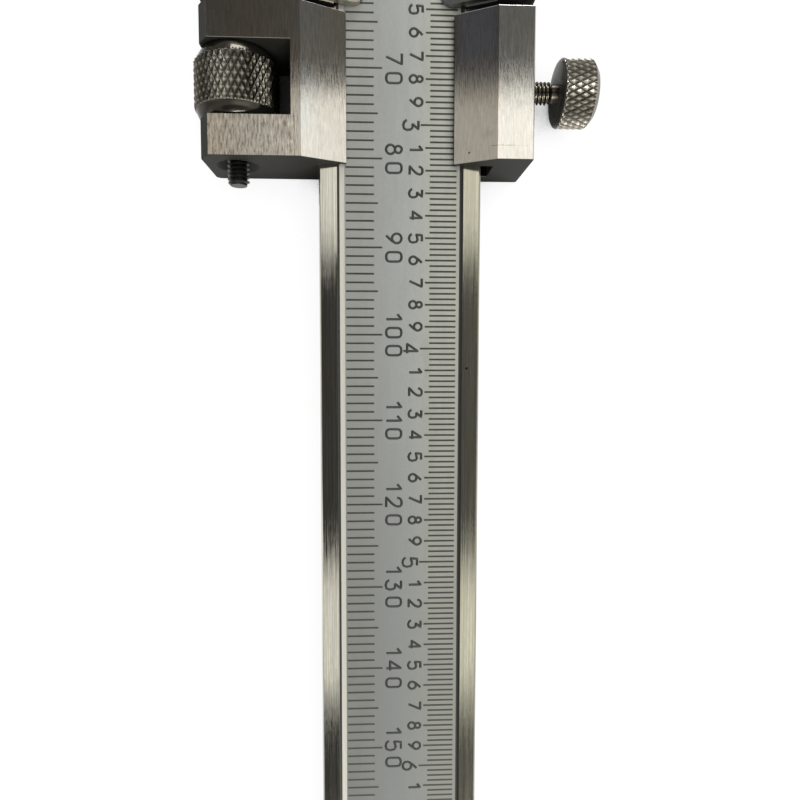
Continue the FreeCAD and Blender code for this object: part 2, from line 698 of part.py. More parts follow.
def carriage_leaf_spring():
    """The bowed leaf spring that presses the carriage against the beam's inch edge."""
    half = leaf_half_length()
    middle_x = CARRIAGE_CLAMP_X
    near_y = HALF_BEAM + FIXED_CLEARANCE
    far_y = near_y + leaf_bow()
    z0 = BACK_WALL + SOFT_CLEARANCE
    z1 = SLOT_ROOF - SOFT_CLEARANCE
    inner = [Vector(middle_x + side * half, far_y, z0) for side in (-1, 1)]
    outer = [Vector(middle_x + side * half, far_y + LEAF_THICKNESS, z0) for side in (-1, 1)]
    inner_middle = Vector(middle_x, near_y, z0)
    outer_middle = Vector(middle_x, near_y + LEAF_THICKNESS, z0)
    edges = [
        Part.Arc(inner[0], inner_middle, inner[1]).toShape(),
        Part.LineSegment(inner[1], outer[1]).toShape(),
        Part.Arc(outer[1], outer_middle, outer[0]).toShape(),
        Part.LineSegment(outer[0], inner[0]).toShape(),
    ]
    return Part.Face(Part.Wire(edges)).extrude(Vector(0, 0, z1 - z0))


def leaf_half_length():
    """Half the length of the leaf spring, which is centred on the carriage's clamp screw."""
    return min(CARRIAGE_CLAMP_OFFSET, CARRIAGE_LENGTH - CARRIAGE_CLAMP_OFFSET) - LEAF_END_MARGIN


def leaf_bow():
    """How far the ends of the leaf spring stand off from its middle."""
    return SPRING_GAP - 2 * FIXED_CLEARANCE - LEAF_THICKNESS


def leaf_back_y():
    """Y of the back of the leaf spring, where the rim of the clamp pad comes nearest to it."""
    bow_at_rim = leaf_bow() * (CLAMP_RADIUS / leaf_half_length()) ** 2
    return HALF_BEAM + FIXED_CLEARANCE + LEAF_THICKNESS + bow_at_rim


def clamp_pad(x, pressed_y):
    """The small brass pad between a clamp screw and what it presses on."""
    return rod(Vector(x, pressed_y + PAD_GAP, CLAMP_AXIS_Z), Y_AXIS, CLAMP_RADIUS, PAD_LENGTH)


def clamp_screw(x, pressed_y):
    """A clamp screw: threaded shank, undercut neck, and a round knob with chamfered rims."""
    start_y = pressed_y + PAD_GAP + PAD_LENGTH + FIXED_CLEARANCE
    thread_end = SCREW_SIDE_Y + CLAMP_THREAD_OUT - start_y
    knob_start = thread_end + CLAMP_NECK_LENGTH
    knob_end = knob_start + KNOB_LENGTH
    profile = [
        (0, CLAMP_RADIUS - CLAMP_TIP_CHAMFER),
        (CLAMP_TIP_CHAMFER, CLAMP_RADIUS),
        (thread_end, CLAMP_RADIUS),
        (thread_end, CLAMP_NECK_RADIUS),
        (knob_start, CLAMP_NECK_RADIUS),
        (knob_start, KNOB_RADIUS - KNOB_INNER_CHAMFER),
        (knob_start + KNOB_INNER_CHAMFER, KNOB_RADIUS),
        (knob_end - KNOB_OUTER_CHAMFER_LENGTH, KNOB_RADIUS),
        (knob_end, KNOB_RADIUS - KNOB_OUTER_CHAMFER_DEPTH),
    ]
    return turned(Vector(x, start_y, CLAMP_AXIS_Z), Y_AXIS, profile)


def build_parts():
    """Every node of the caliper, by name."""
    return {
        "main_beam": main_beam(),
        "beam_end_stop": beam_end_stop(),
        "end_stop_screws": end_stop_screws(),
        "slider_frame": slider_frame(),
        "metric_vernier_plate": vernier_plate(-1, PLATE_METRIC_LIP_Y, RIDGE_METRIC_Y),
        "metric_vernier_screws": Part.makeCompound(vernier_screws(-1, 0)),
        "inch_vernier_plate": vernier_plate(1, PLATE_INCH_LIP_Y, RIDGE_INCH_Y),
        "inch_vernier_screws": Part.makeCompound(vernier_screws(1, 0)),
        "slider_gib_strip": gib_strip(),
        "slider_gib_screws": gib_screws(),
        "slider_clamp_pad": clamp_pad(SLIDER_CLAMP_X, gib_back_y()),
        "slider_clamp_screw": clamp_screw(SLIDER_CLAMP_X, gib_back_y()),
        "fine_adjust_screw": fine_adjust_screw(),
        "screw_cross_pin": pin_bore(0),
        "fine_adjust_nut": fine_adjust_nut(),
        "carriage_body": carriage_body(),
        "carriage_leaf_spring": carriage_leaf_spring(),
        "carriage_clamp_pad": clamp_pad(CARRIAGE_CLAMP_X, leaf_back_y()),
        "carriage_clamp_screw": clamp_screw(CARRIAGE_CLAMP_X, leaf_back_y()),
    }


os.makedirs("parts", exist_ok=True)
for name, shape in build_parts().items():
    shape.exportStep(os.path.join("parts", name + ".step"))
    state = "valid" if shape.isValid() else "BAD"
    print(name, len(shape.Solids), "solid(s)", round(shape.Volume, 1), "mm3", state)
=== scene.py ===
import math

import bmesh
import bpy
from bpy.props import FloatProperty, FloatVectorProperty, IntProperty, PointerProperty
from mathutils import Matrix, Vector


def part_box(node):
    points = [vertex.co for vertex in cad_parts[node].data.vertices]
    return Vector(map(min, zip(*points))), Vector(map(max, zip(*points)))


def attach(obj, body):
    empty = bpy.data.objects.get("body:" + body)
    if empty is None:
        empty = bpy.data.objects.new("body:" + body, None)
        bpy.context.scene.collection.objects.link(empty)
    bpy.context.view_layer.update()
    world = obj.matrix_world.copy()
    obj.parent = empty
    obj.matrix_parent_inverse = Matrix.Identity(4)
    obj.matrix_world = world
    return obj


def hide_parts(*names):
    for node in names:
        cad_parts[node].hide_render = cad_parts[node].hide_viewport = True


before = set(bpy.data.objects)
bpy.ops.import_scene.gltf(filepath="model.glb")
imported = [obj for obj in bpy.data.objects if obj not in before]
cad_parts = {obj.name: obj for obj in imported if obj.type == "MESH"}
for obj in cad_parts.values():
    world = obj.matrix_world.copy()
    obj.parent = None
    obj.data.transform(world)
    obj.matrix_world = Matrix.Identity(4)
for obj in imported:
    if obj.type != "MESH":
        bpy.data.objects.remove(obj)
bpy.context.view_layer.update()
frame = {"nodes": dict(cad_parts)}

bl_info = {
    "name": "Vernier caliper dressing",
    "version": (1, 0, 0),
    "blender": (4, 5, 0),
    "location": "View3D > Sidebar > Caliper",
    "description": "Graduations, numbers, knurls, threads, finishes and stage of a vernier caliper",
    "category": "Object",
}

MM = 0.001
INCH = 0.0254
X_AXIS = Vector((1, 0, 0))
Y_AXIS = Vector((0, 1, 0))
METRES = {"unit": "LENGTH", "precision": 5}
COLOUR = {"subtype": "COLOR", "size": 3}

# The beam's recess: height of the scale face, middle and half width of its satin strip, and a Y on
# the rails
SATIN_FACE_Z = 0.0059
SATIN_MIDDLE_Y = 0.00025
SATIN_HALF_WIDTH = 0.00661
RAIL_Y = 0.0075
# Marks on the scale face, Y in mm: outer end of the lines, inner ends from the longest line to the
# shortest, and feet of the numbers
METRIC_OUTER, METRIC_INNER, METRIC_FOOT = -6.22, (-2.03, -2.53, -2.99), -1.73
INCH_OUTER, INCH_INNER, INCH_FEET = 6.5, (2.34, 2.9, 3.42), (0.28, 0.96)
# Vernier plates, in mm: top of the lip over the scale face, lap and lengths of the lines, foot of the
# numbers, and places of the screws
PLATE_LIP_TOP, PLATE_LAP, PLATE_LINES, PLATE_FOOT = 0.45, 0.06, (2.5, 2.05, 1.6), 2.95
PLATE_SCREW_Y, PLATE_SCREW_MARGIN = 9.3, 3.0
# Fine-adjust nut, in mm: length past its solid at each end, bore, start of the knurl, and the
# profile of an end as (distance from the end, depth below the full radius)
NUT_SPARE, NUT_BORE, NUT_KNURL_START = 0.14, 1.3, 1.4
NUT_END = ((0, 0.95), (0.08, 0.84), (0.35, 0.66), (0.65, 0.49), (0.95, 0.35))
# Clamp screws, in mm
KNOB_LENGTH, NECK_LENGTH, NECK_RADIUS, CLAMP_RADIUS = 4.2, 0.75, 1.08, 1.25
# Marks of wear, in metres: the carriage's scratch, its pit and the rail's pit
SCRATCH_X, SCRATCH_Y = 0.0793, 0.0121
CARRIAGE_PIT = (0.0797, 0.0077)
RAIL_PIT = (0.1039, 0.0078)
PIT_COLOUR = (0.02, 0.018, 0.015, 1.0)
STAIN_COLOUR = (0.3, 0.27, 0.22, 1.0)
# Painted shade: near black for the ground steel's end faces and its faces towards -Y
PAINTED_SHADE_COLOUR = (0.018, 0.0175, 0.015, 1.0)
# Painted shade: near black for the unlit wall of the beam's recess
SHADED_WALL_COLOUR = (0.03, 0.029, 0.026, 1.0)
# Heights of a knurl's vertices from a groove's floor to a diamond's top
KNURL_LEVELS = (0.0, 0.56, 1.0)
# Camera: place, and directions to its right and back
CAMERA_PLACE = Vector((0.102707, -0.003136, 0.078353))
CAMERA_RIGHT = Vector((-0.00128, 0.99905, 0.04358))
CAMERA_BACK = Vector((-0.06745, -0.04357, 0.99677))
# Lamps: name, place, width, height, watts, seen in reflections
LAMPS = (
    ("fill_softbox", (0.04, 0.22, 0.7), 0.7, 0.7, 5.0, False),
    ("far_lamp", (0.58, 0.11, 0.309), 0.36, 0.18, 2.4, True),
    ("near_lamp", (-0.48, 0.085, 0.231), 0.36, 0.18, 2.4, True),
)
# The world's two long softboxes, by the X of a direction: two values where each fades in and two
# where it fades out
LEFT_BOX = (-0.395, -0.373, -0.178, -0.15)
RIGHT_BOX = (0.303, 0.33, 0.478, 0.503)

# Numerals, one unit high: gap between two, and for each its width and centre lines as (closed, points),
# rounded between the points and sharp where a point is given twice
DIGIT_GAP = 0.57
OVAL = [(0.0, 0.0), (0.61, 0.0), (0.61, 0.5), (0.61, 1.0), (0.0, 1.0), (0.0, 0.5)]
NUMERALS = {
    "0": (0.61, [(True, OVAL)]),
    "1": (0.33, [(False, [(0.0, 0.74), (0.33, 1.0), (0.33, 1.0), (0.33, 0.0)])]),
    "2": (0.65, [(False, [(0.02, 0.72), (0.04, 1.02), (0.62, 1.04), (0.62, 0.58), (0.0, 0.0),
                          (0.0, 0.0), (0.65, 0.0)])]),
    "3": (0.65, [(False, [(0.05, 1.0), (0.6, 1.0), (0.6, 1.0), (0.27, 0.6), (0.27, 0.6), (0.65, 0.6),
                          (0.67, -0.03), (0.1, -0.05), (0.0, 0.2)])]),
    "4": (0.65, [(False, [(0.5, 0.0), (0.5, 1.0), (0.5, 1.0), (0.0, 0.26), (0.0, 0.26),
                          (0.65, 0.26)])]),
    "5": (0.65, [(False, [(0.58, 1.0), (0.1, 1.0), (0.1, 1.0), (0.05, 0.55), (0.05, 0.55),
                          (0.65, 0.72), (0.7, -0.02), (0.12, -0.06), (0.0, 0.18)])]),
    "6": (0.62, [(True, "bowl_low"), (False, [(0.02, 0.4), (0.14, 0.66), (0.5, 1.0)])]),
    "7": (0.65, [(False, [(0.0, 1.0), (0.65, 1.0), (0.65, 1.0), (0.2, 0.0)])]),
    "8": (0.6, [(True, "ring_low"), (True, "ring_high")]),
    "9": (0.62, [(True, "bowl_high"), (False, [(0.6, 0.6), (0.48, 0.34), (0.12, 0.0)])]),
}
RINGS = {
    "bowl_low": (0.31, 0.31, 0.31),
    "bowl_high": (0.31, 0.69, 0.31),
    "ring_low": (0.3, 0.28, 0.29),
    "ring_high": (0.3, 0.785, 0.22),
}


class ScaleSizes(bpy.types.PropertyGroup):
    """Sizes of the graduations and numbers."""
    tick_width: FloatProperty(
        name="Tick width", description="Width of a graduation", default=0.0002, **METRES)
    relief: FloatProperty(
        name="Relief", description="How far the filled marks stand out of their face", default=0.000012,
        unit="LENGTH", precision=6)
    stroke: FloatProperty(
        name="Stroke", description="Stroke width of the numbers", default=0.00029, **METRES)
    metric_height: FloatProperty(
        name="Metric number height", description="Height of the millimetre numbers",
        default=0.00206, **METRES)
    tenth_height: FloatProperty(
        name="Tenth number height", description="Height of the tenth-inch numbers",
        default=0.00172, **METRES)
    inch_height: FloatProperty(
        name="Inch number height", description="Height of the whole-inch numbers",
        default=0.00196, **METRES)
    vernier_height: FloatProperty(
        name="Vernier number height", description="Height of the vernier numbers",
        default=0.0014, **METRES)
    last_millimetre: IntProperty(
        name="Last millimetre", description="Where the millimetre scale ends",
        default=250, min=10, max=280)
    last_fortieth: IntProperty(
        name="Last fortieth", description="Where the inch scale ends, in fortieths of an inch",
        default=392, min=40, max=440)


class KnurlSizes(bpy.types.PropertyGroup):
    """Sizes of the knurls and threads."""
    nut_count: IntProperty(
        name="Nut diamonds", description="Diamonds round the fine-adjust nut",
        default=39, min=12, max=80)
    nut_row: FloatProperty(
        name="Nut diamond length", description="Length of a diamond on the nut",
        default=0.00149, **METRES)
    knob_count: IntProperty(
        name="Knob diamonds", description="Diamonds round a clamp knob", default=32, min=12, max=80)
    knob_row: FloatProperty(
        name="Knob diamond length", description="Length of a diamond on a knob",
        default=0.0014, **METRES)
    nut_depth: FloatProperty(
        name="Nut knurl depth", description="Depth of the nut's knurl", default=0.0002, **METRES)
    knob_depth: FloatProperty(
        name="Knob knurl depth", description="Depth of a knob's knurl", default=0.00026, **METRES)
    clamp_pitch: FloatProperty(
        name="Clamp pitch", description="Thread pitch of the clamp screws", default=0.00045, **METRES)
    fine_pitch: FloatProperty(
        name="Fine pitch", description="Thread pitch of the fine-adjust screw",
        default=0.0005, **METRES)


class FinishColours(bpy.types.PropertyGroup):
    """Colours of the metals and marks."""
    rail: FloatVectorProperty(
        name="Rails", description="Ground rails of the beam", default=(0.72, 0.7, 0.62), **COLOUR)
    satin: FloatVectorProperty(
        name="Scale face", description="Satin chromed scale face",
        default=(0.236, 0.239, 0.222), **COLOUR)
    frame: FloatVectorProperty(
        name="Slider and carriage", description="Ground faces of the slider and the carriage",
        default=(0.62, 0.595, 0.545), **COLOUR)
    plate: FloatVectorProperty(
        name="Vernier plates", description="Satin vernier plates", default=(0.42, 0.42, 0.4), **COLOUR)
    knurl: FloatVectorProperty(
        name="Knobs", description="Knurled steel of the knobs", default=(0.59, 0.55, 0.47), **COLOUR)
    nut: FloatVectorProperty(
        name="Nut", description="Gunmetal of the fine-adjust nut",
        default=(0.41, 0.385, 0.322), **COLOUR)
    black: FloatVectorProperty(
        name="Black steel", description="Blackened screw threads",
        default=(0.012, 0.012, 0.011), **COLOUR)
    thread: FloatVectorProperty(
        name="Clamp threads", description="Oiled threads of the clamp screws",
        default=(0.11, 0.1, 0.08), **COLOUR)
    ink: FloatVectorProperty(
        name="Marks", description="Filling of the engraved marks",
        default=(0.022, 0.023, 0.018), **COLOUR)
    brass: FloatVectorProperty(
        name="Brass", description="Brass of the pads, gib and leaf spring",
        default=(0.72, 0.52, 0.24), **COLOUR)


# Mesh helpers

def steady(bm):
    """Puts a bmesh's parts in an order that is the same on every run."""
    for parts, key in (
        (bm.verts, lambda part: part.co[:]),
        (bm.edges, lambda part: sorted(vert.index for vert in part.verts)),
        (bm.faces, lambda part: sorted(vert.index for vert in part.verts)),
    ):
        for index, part in enumerate(sorted(parts, key=key)):
            part.index = index
        parts.sort()


def finished(name, bm, finish, body, replaced=(), soft=0):
    """Turns a bmesh into a piece that rides on its body, smooth below an angle of soft degrees."""
    steady(bm)
    bmesh.ops.recalc_face_normals(bm, faces=bm.faces[:])
    mesh = bpy.data.meshes.new(name)
    bm.to_mesh(mesh)
    bm.free()
    if soft:
        mesh.shade_smooth()
        mesh.set_sharp_from_angle(angle=math.radians(soft))
    piece = bpy.data.objects.new(name, mesh)
    bpy.context.scene.collection.objects.link(piece)
    mesh.materials.append(bpy.data.materials[finish])
    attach(piece, body)
    if replaced:
        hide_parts(*replaced)
    return piece


def facing(origin, along, up):
    """Matrix that puts a flat drawing at origin, its x along one direction and its y along another."""
    along = along.normalized()
    up = up.normalized()
    normal = along.cross(up)
    matrix = Matrix((along, up, normal)).transposed().to_4x4()
    matrix.translation = origin
    return matrix


def ring_points(name):
    """Control points of a round stroke."""
    x, y, radius = RINGS[name]
    reach = radius / math.cos(math.pi / 8)
    return [
        (x + reach * math.cos(math.pi * (k + 0.5) / 4), y + reach * math.sin(math.pi * (k + 0.5) / 4))
        for k in range(8)
    ]


def numeral_mesh(sign, height, stroke, relief):
    """Mesh of one numeral: a stroke of even width along its centre lines, flattened to its relief."""
    curve = bpy.data.curves.new("numeral_" + sign, "CURVE")
    curve.dimensions = "3D"
    curve.twist_mode = "Z_UP"
    curve.bevel_depth = stroke / 2
    curve.bevel_resolution = 0
    curve.use_fill_caps = True
    size = height - stroke
    for closed, points in NUMERALS[sign][1]:
        points = ring_points(points) if isinstance(points, str) else points
        spline = curve.splines.new("NURBS")
        spline.points.add(len(points) - 1)
        for point, (x, y) in zip(spline.points, points):
            point.co = (x * size, y * size + stroke / 2, 0, 1)
        spline.use_cyclic_u = closed
        spline.order_u = 3
        spline.use_endpoint_u = not closed
        spline.resolution_u = 2 if len(points) >= 8 else 3
    holder = bpy.data.objects.new("numeral_" + sign, curve)
    bpy.context.scene.collection.objects.link(holder)
    bpy.context.view_layer.update()
    mesh = bpy.data.meshes.new_from_object(holder)
    mesh.transform(Matrix.Diagonal((1, 1, 2 * relief / stroke, 1)))
    bpy.data.objects.remove(holder)
    bpy.data.curves.remove(curve)
    return mesh


def add_number(bm, text, plane, middle, foot, height, stroke, relief, store):
    """Adds a number to bm on a plane, with its middle at an x and its foot at a y."""
    place = plane @ Matrix.Translation((middle, foot, 0))
    size = height - stroke
    gap = DIGIT_GAP * size
    widths = [NUMERALS[sign][0] * size for sign in text]
    x = -(sum(widths) + gap * (len(text) - 1)) / 2
    for sign, width in zip(text, widths):
        key = (sign, height)
        if key not in store:
            store[key] = numeral_mesh(sign, height, stroke, relief)
        before = len(bm.verts)
        bm.from_mesh(store[key])
        bm.verts.ensure_lookup_table()
        matrix = place @ Matrix.Translation((x, 0, 0))
        bmesh.ops.transform(bm, matrix=matrix, verts=bm.verts[before:])
        x += width + gap


def add_tick(bm, plane, x, y0, y1, width, relief):
    """Adds one graduation from y0 to y1 on a plane."""
    size = Matrix.Diagonal((width, abs(y1 - y0), 2 * relief, 1))
    place = plane @ Matrix.Translation((x, (y0 + y1) / 2, 0))
    bmesh.ops.create_cube(bm, size=1.0, matrix=place @ size)


def graded(value, longest, middle, ends):
    """The end of a line, by whether its value is a multiple of one number, of another or of neither."""
    return ends[0 if value % longest == 0 else 1 if value % middle == 0 else 2] * MM


def wire(bm, points):
    """An open wire of vertices through the points."""
    verts = [bm.verts.new(p) for p in points]
    edges = [bm.edges.new((a, b)) for a, b in zip(verts, verts[1:])]
    return verts, edges


def turn(bm, base, axis, profile, steps):
    """A turned shell about the axis; profile is a list of (distance along the axis, radius)."""
    out = axis.orthogonal().normalized()
    verts, edges = wire(bm, [base + axis * along + out * radius for along, radius in profile])
    bmesh.ops.spin(bm, geom=verts + edges, cent=base, axis=axis, dvec=(0, 0, 0), angle=2 * math.pi,
                   steps=steps, use_merge=True)
    bmesh.ops.remove_doubles(bm, verts=bm.verts[:], dist=1e-7)
    steady(bm)


def knurl(bm, base, axis, first, last, rows, count, radius, depth):
    """Presses a diamond knurl into the rings of a turned shell between two distances along the axis."""
    layer = bm.verts.layers.float.get("groove") or bm.verts.layers.float.new("groove")
    plain = bm.verts.layers.float.get("turned") or bm.verts.layers.float.new("turned")
    out = axis.orthogonal().normalized()
    side = axis.cross(out)
    levels = {}
    for vert in bm.verts:
        along = (vert.co - base).dot(axis)
        radial = vert.co - base - axis * along
        if not first - 1e-6 < along < last + 1e-6 or abs(radial.length - radius) > 1e-5:
            vert[plain] = 1.0
            continue
        column = round(math.atan2(radial.dot(side), radial.dot(out)) / (2 * math.pi) * 4 * count)
        row = round((along - first) / (last - first) * rows)
        rising, falling = column + row, column - row
        level = KNURL_LEVELS[min(rising % 4, -rising % 4, falling % 4, -falling % 4)]
        levels[vert] = level
        vert[layer] = 1.0 - level
        vert.co -= radial.normalized() * depth * (1.0 - level)
    for face in [f for f in bm.faces if len(f.verts) == 4 and all(v in levels for v in f.verts)]:
        a, b, c, d = face.verts
        if levels[a] == levels[c] and (levels[b] != levels[d] or levels[a] < levels[b]):
            bmesh.utils.face_split(face, a, c)
        else:
            bmesh.utils.face_split(face, b, d)


def add_thread(bm, start, axis, length, radius, pitch, tip, steps=20):
    """Adds a threaded rod: one pitch of the profile is spun up the axis, then cut off square."""
    root = radius - 0.58 * pitch
    out = axis.orthogonal().normalized()
    profile = [(0, root), (0.2, root), (0.52, radius), (0.68, radius), (1, root)]
    base = start - axis * pitch
    own = bmesh.new()
    verts, edges = wire(own, [base + axis * along * pitch + out * r for along, r in profile])
    turns = math.ceil(length / pitch) + 2
    bmesh.ops.spin(own, geom=verts + edges, cent=base, axis=axis, dvec=axis * pitch / steps,
                   angle=2 * math.pi * turns, steps=steps * turns)
    bmesh.ops.remove_doubles(own, verts=own.verts[:], dist=1e-7)
    for centre, normal in ((start, -axis), (start + axis * length, axis)):
        bmesh.ops.bisect_plane(own, geom=own.verts[:] + own.edges[:] + own.faces[:], dist=1e-8,
                               plane_co=centre, plane_no=normal, clear_outer=True)
        rim = [e for e in own.edges if e.is_boundary
               and all(abs((v.co - centre).dot(axis)) < 1e-6 for v in e.verts)]
        lid = bmesh.ops.extrude_edge_only(own, edges=rim)["geom"]
        lid = [g for g in lid if isinstance(g, bmesh.types.BMVert)]
        bmesh.ops.pointmerge(own, verts=lid, merge_co=centre)
    for vert in own.verts:
        along = (vert.co - start).dot(axis)
        radial = vert.co - start - axis * along
        limit = radius - tip + min(along, length - along)
        if radial.length > limit:
            vert.co -= radial.normalized() * (radial.length - limit)
    mesh = bpy.data.meshes.new("thread")
    own.to_mesh(mesh)
    own.free()
    bm.from_mesh(mesh)
    bpy.data.meshes.remove(mesh)


def faces_near(bm, head, inward, depth, slack, reach):
    """Faces within a reach of a screw's head and at a depth below it, give or take the slack."""
    middles = ((face, face.calc_center_median() - head) for face in bm.faces)
    return [face for face, middle in middles
            if abs(middle.dot(inward) - depth) < slack and middle.length < reach]


def plate_slope(plate, sign):
    """Y and Z of the top of a vernier plate's lip, and how far its face rises per unit of Y."""
    low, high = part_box(plate)
    lip, ridge = (low.y, high.y) if sign > 0 else (high.y, low.y)
    lip_top = SATIN_FACE_Z + PLATE_LIP_TOP * MM
    return lip, lip_top, (high.z - lip_top) / abs(ridge - lip)


# Material helpers

def add_node(tree, kind, inputs=None, **settings):
    """Adds a shader node, sets its fields, and sets or links its inputs."""
    node = tree.nodes.new("ShaderNode" + kind)
    for key, value in settings.items():
        setattr(node, key, value)
    set_inputs(tree, node, inputs or {})
    return node


def set_inputs(tree, node, inputs):
    """Sets a node's inputs, or links them where the value is a socket."""
    for key, value in inputs.items():
        if isinstance(value, bpy.types.NodeSocket):
            tree.links.new(value, node.inputs[key])
        else:
            node.inputs[key].default_value = value


def calc(tree, operation, *values):
    """A Math node; returns its output."""
    return add_node(tree, "Math", dict(enumerate(values)), operation=operation).outputs[0]


def times(tree, a, b):
    """The product of two values."""
    return calc(tree, "MULTIPLY", a, b)


def mix(tree, factor, a, b, mode="MIX"):
    """A colour Mix node; returns its output."""
    node = add_node(tree, "Mix", {0: factor, 6: a, 7: b}, data_type="RGBA", blend_type=mode)
    return node.outputs[2]


def tinted(tree, factor, tone, tint):
    """A colour multiplied by a tint of three numbers, as far as the factor says."""
    return mix(tree, factor, tone, (*tint, 1.0), "MULTIPLY")


def ramp(tree, value, low, high, out_low=0.0, out_high=1.0):
    """A smooth Map Range; returns its output."""
    node = add_node(tree, "MapRange", {0: value, 1: low, 2: high, 3: out_low, 4: out_high},
                    interpolation_type="SMOOTHSTEP")
    return node.outputs[0]


def split(tree, vector):
    """The three parts of a vector."""
    return add_node(tree, "SeparateXYZ", {0: vector}).outputs


def object_coords(tree):
    """Object coordinates."""
    return add_node(tree, "TexCoord").outputs["Object"]


def stretched_noise(tree, coords, scale, detail, rough):
    """Noise on object coordinates, stretched by a scale per axis in features per metre."""
    place = add_node(tree, "Mapping", {0: coords, 3: scale})
    inputs = {"Vector": place.outputs[0], "Scale": 1.0, "Detail": detail, "Roughness": rough}
    return add_node(tree, "TexNoise", inputs).outputs["Fac"]


def new_group(name, inputs, outputs):
    """Makes a shader node group; returns its tree, the sockets that it is given and its end node."""
    tree = bpy.data.node_groups.new(name, "ShaderNodeTree")
    for label, value in inputs.items():
        socket = tree.interface.new_socket(name=label, in_out="INPUT", socket_type="NodeSocketFloat")
        socket.default_value = value
    for label in outputs:
        tree.interface.new_socket(name=label, in_out="OUTPUT", socket_type="NodeSocketFloat")
    return tree, tree.nodes.new("NodeGroupInput").outputs, tree.nodes.new("NodeGroupOutput")


def ground_lines_group():
    """Fine grinding lines along the beam, with slow patches of stronger and weaker lines."""
    tree, given, result = new_group(
        "ground_lines", {"Lines per metre": 7000.0, "Length per metre": 600.0}, ("Lines", "Patches"))
    coords = object_coords(tree)
    x, y, z = split(tree, coords)
    x = times(tree, x, given["Length per metre"])
    y = times(tree, y, given["Lines per metre"])
    z = times(tree, z, given["Lines per metre"])
    vector = add_node(tree, "CombineXYZ", {0: x, 1: y, 2: z}).outputs[0]
    inputs = {"Vector": vector, "Scale": 1.0, "Detail": 3.0, "Roughness": 0.6}
    lines = add_node(tree, "TexNoise", inputs).outputs["Fac"]
    patches = stretched_noise(tree, coords, (900.0, 3600.0, 3600.0), 4.0, 0.62)
    set_inputs(tree, result, {"Lines": ramp(tree, lines, 0.3, 0.7),
                              "Patches": ramp(tree, patches, 0.32, 0.68)})


def small_marks_group():
    """Small pits and stains left by use."""
    tree, given, result = new_group(
        "small_marks", {"Pits per metre": 220.0, "Pit size": 0.04}, ("Pits", "Stains"))
    coords = object_coords(tree)
    inputs = {"Vector": coords, "Scale": given["Pits per metre"], "Randomness": 1.0}
    cells = add_node(tree, "TexVoronoi", inputs)
    pits = calc(tree, "LESS_THAN", cells.outputs["Distance"], given["Pit size"])
    stains = stretched_noise(tree, coords, (380.0, 380.0, 380.0), 5.0, 0.62)
    set_inputs(tree, result, {"Pits": pits, "Stains": ramp(tree, stains, 0.56, 0.72)})


def knurl_dirt_group():
    """Darkening towards the floors of a knurl's grooves, from the piece's own groove attribute, and a
    mask of its turned faces.
    """
    tree, given, result = new_group("knurl_grooves", {"Reach": 0.75}, ("Groove darkening", "Turned"))
    groove, turned = (
        add_node(tree, "Attribute", attribute_name=name, attribute_type="GEOMETRY").outputs["Fac"]
        for name in ("groove", "turned")
    )
    noise = stretched_noise(tree, object_coords(tree), (900.0, 900.0, 900.0), 2.0, 0.5)
    depth = times(tree, groove, calc(tree, "ADD", noise, 0.6))
    set_inputs(tree, result, {"Groove darkening": ramp(tree, depth, 0.15, given["Reach"]),
                              "Turned": ramp(tree, turned, 0.5, 0.9)})


def group_node(tree, name, values=None):
    """Places a node group in a material; returns its outputs."""
    node = tree.nodes.new("ShaderNodeGroup")
    node.node_tree = bpy.data.node_groups[name]
    set_inputs(tree, node, values or {})
    return node.outputs


def blank_material(name):
    """A material with a Principled shader; returns it, its tree, the shader and coordinates."""
    material = bpy.data.materials.new(name)
    material.use_nodes = True
    tree = material.node_tree
    return material, tree, tree.nodes["Principled BSDF"], object_coords(tree)


def shade(colour, red, green=None, blue=None):
    """A colour with its channels multiplied, by one gain or by three, as four numbers."""
    gains = (red, red, red) if green is None else (red, green, blue)
    return (*(part * gain for part, gain in zip(colour, gains)), 1.0)


def bumped(tree, shader, height, distance):
    """Feeds a height into the shader's normal."""
    node = add_node(tree, "Bump", {"Height": height, "Distance": distance, "Strength": 1.0})
    tree.links.new(node.outputs[0], shader.inputs["Normal"])


def mixed_output(tree, kind, factor, first, second):
    """Mixes the shaders of two nodes into the tree's output."""
    mixed = add_node(tree, "MixShader", {0: factor, 1: first.outputs[0], 2: second.outputs[0]})
    add_node(tree, kind, {0: mixed.outputs[0]})


def spot_mask(tree, coords, spot, radius):
    """One inside a small round spot, seen from above."""
    flat = add_node(tree, "VectorMath", {0: coords, 1: (1, 1, 0)}, operation="MULTIPLY")
    inputs = {0: flat.outputs[0], 1: (*spot, 0)}
    reach = add_node(tree, "VectorMath", inputs, operation="DISTANCE")
    return ramp(tree, reach.outputs["Value"], radius, radius * 0.6)


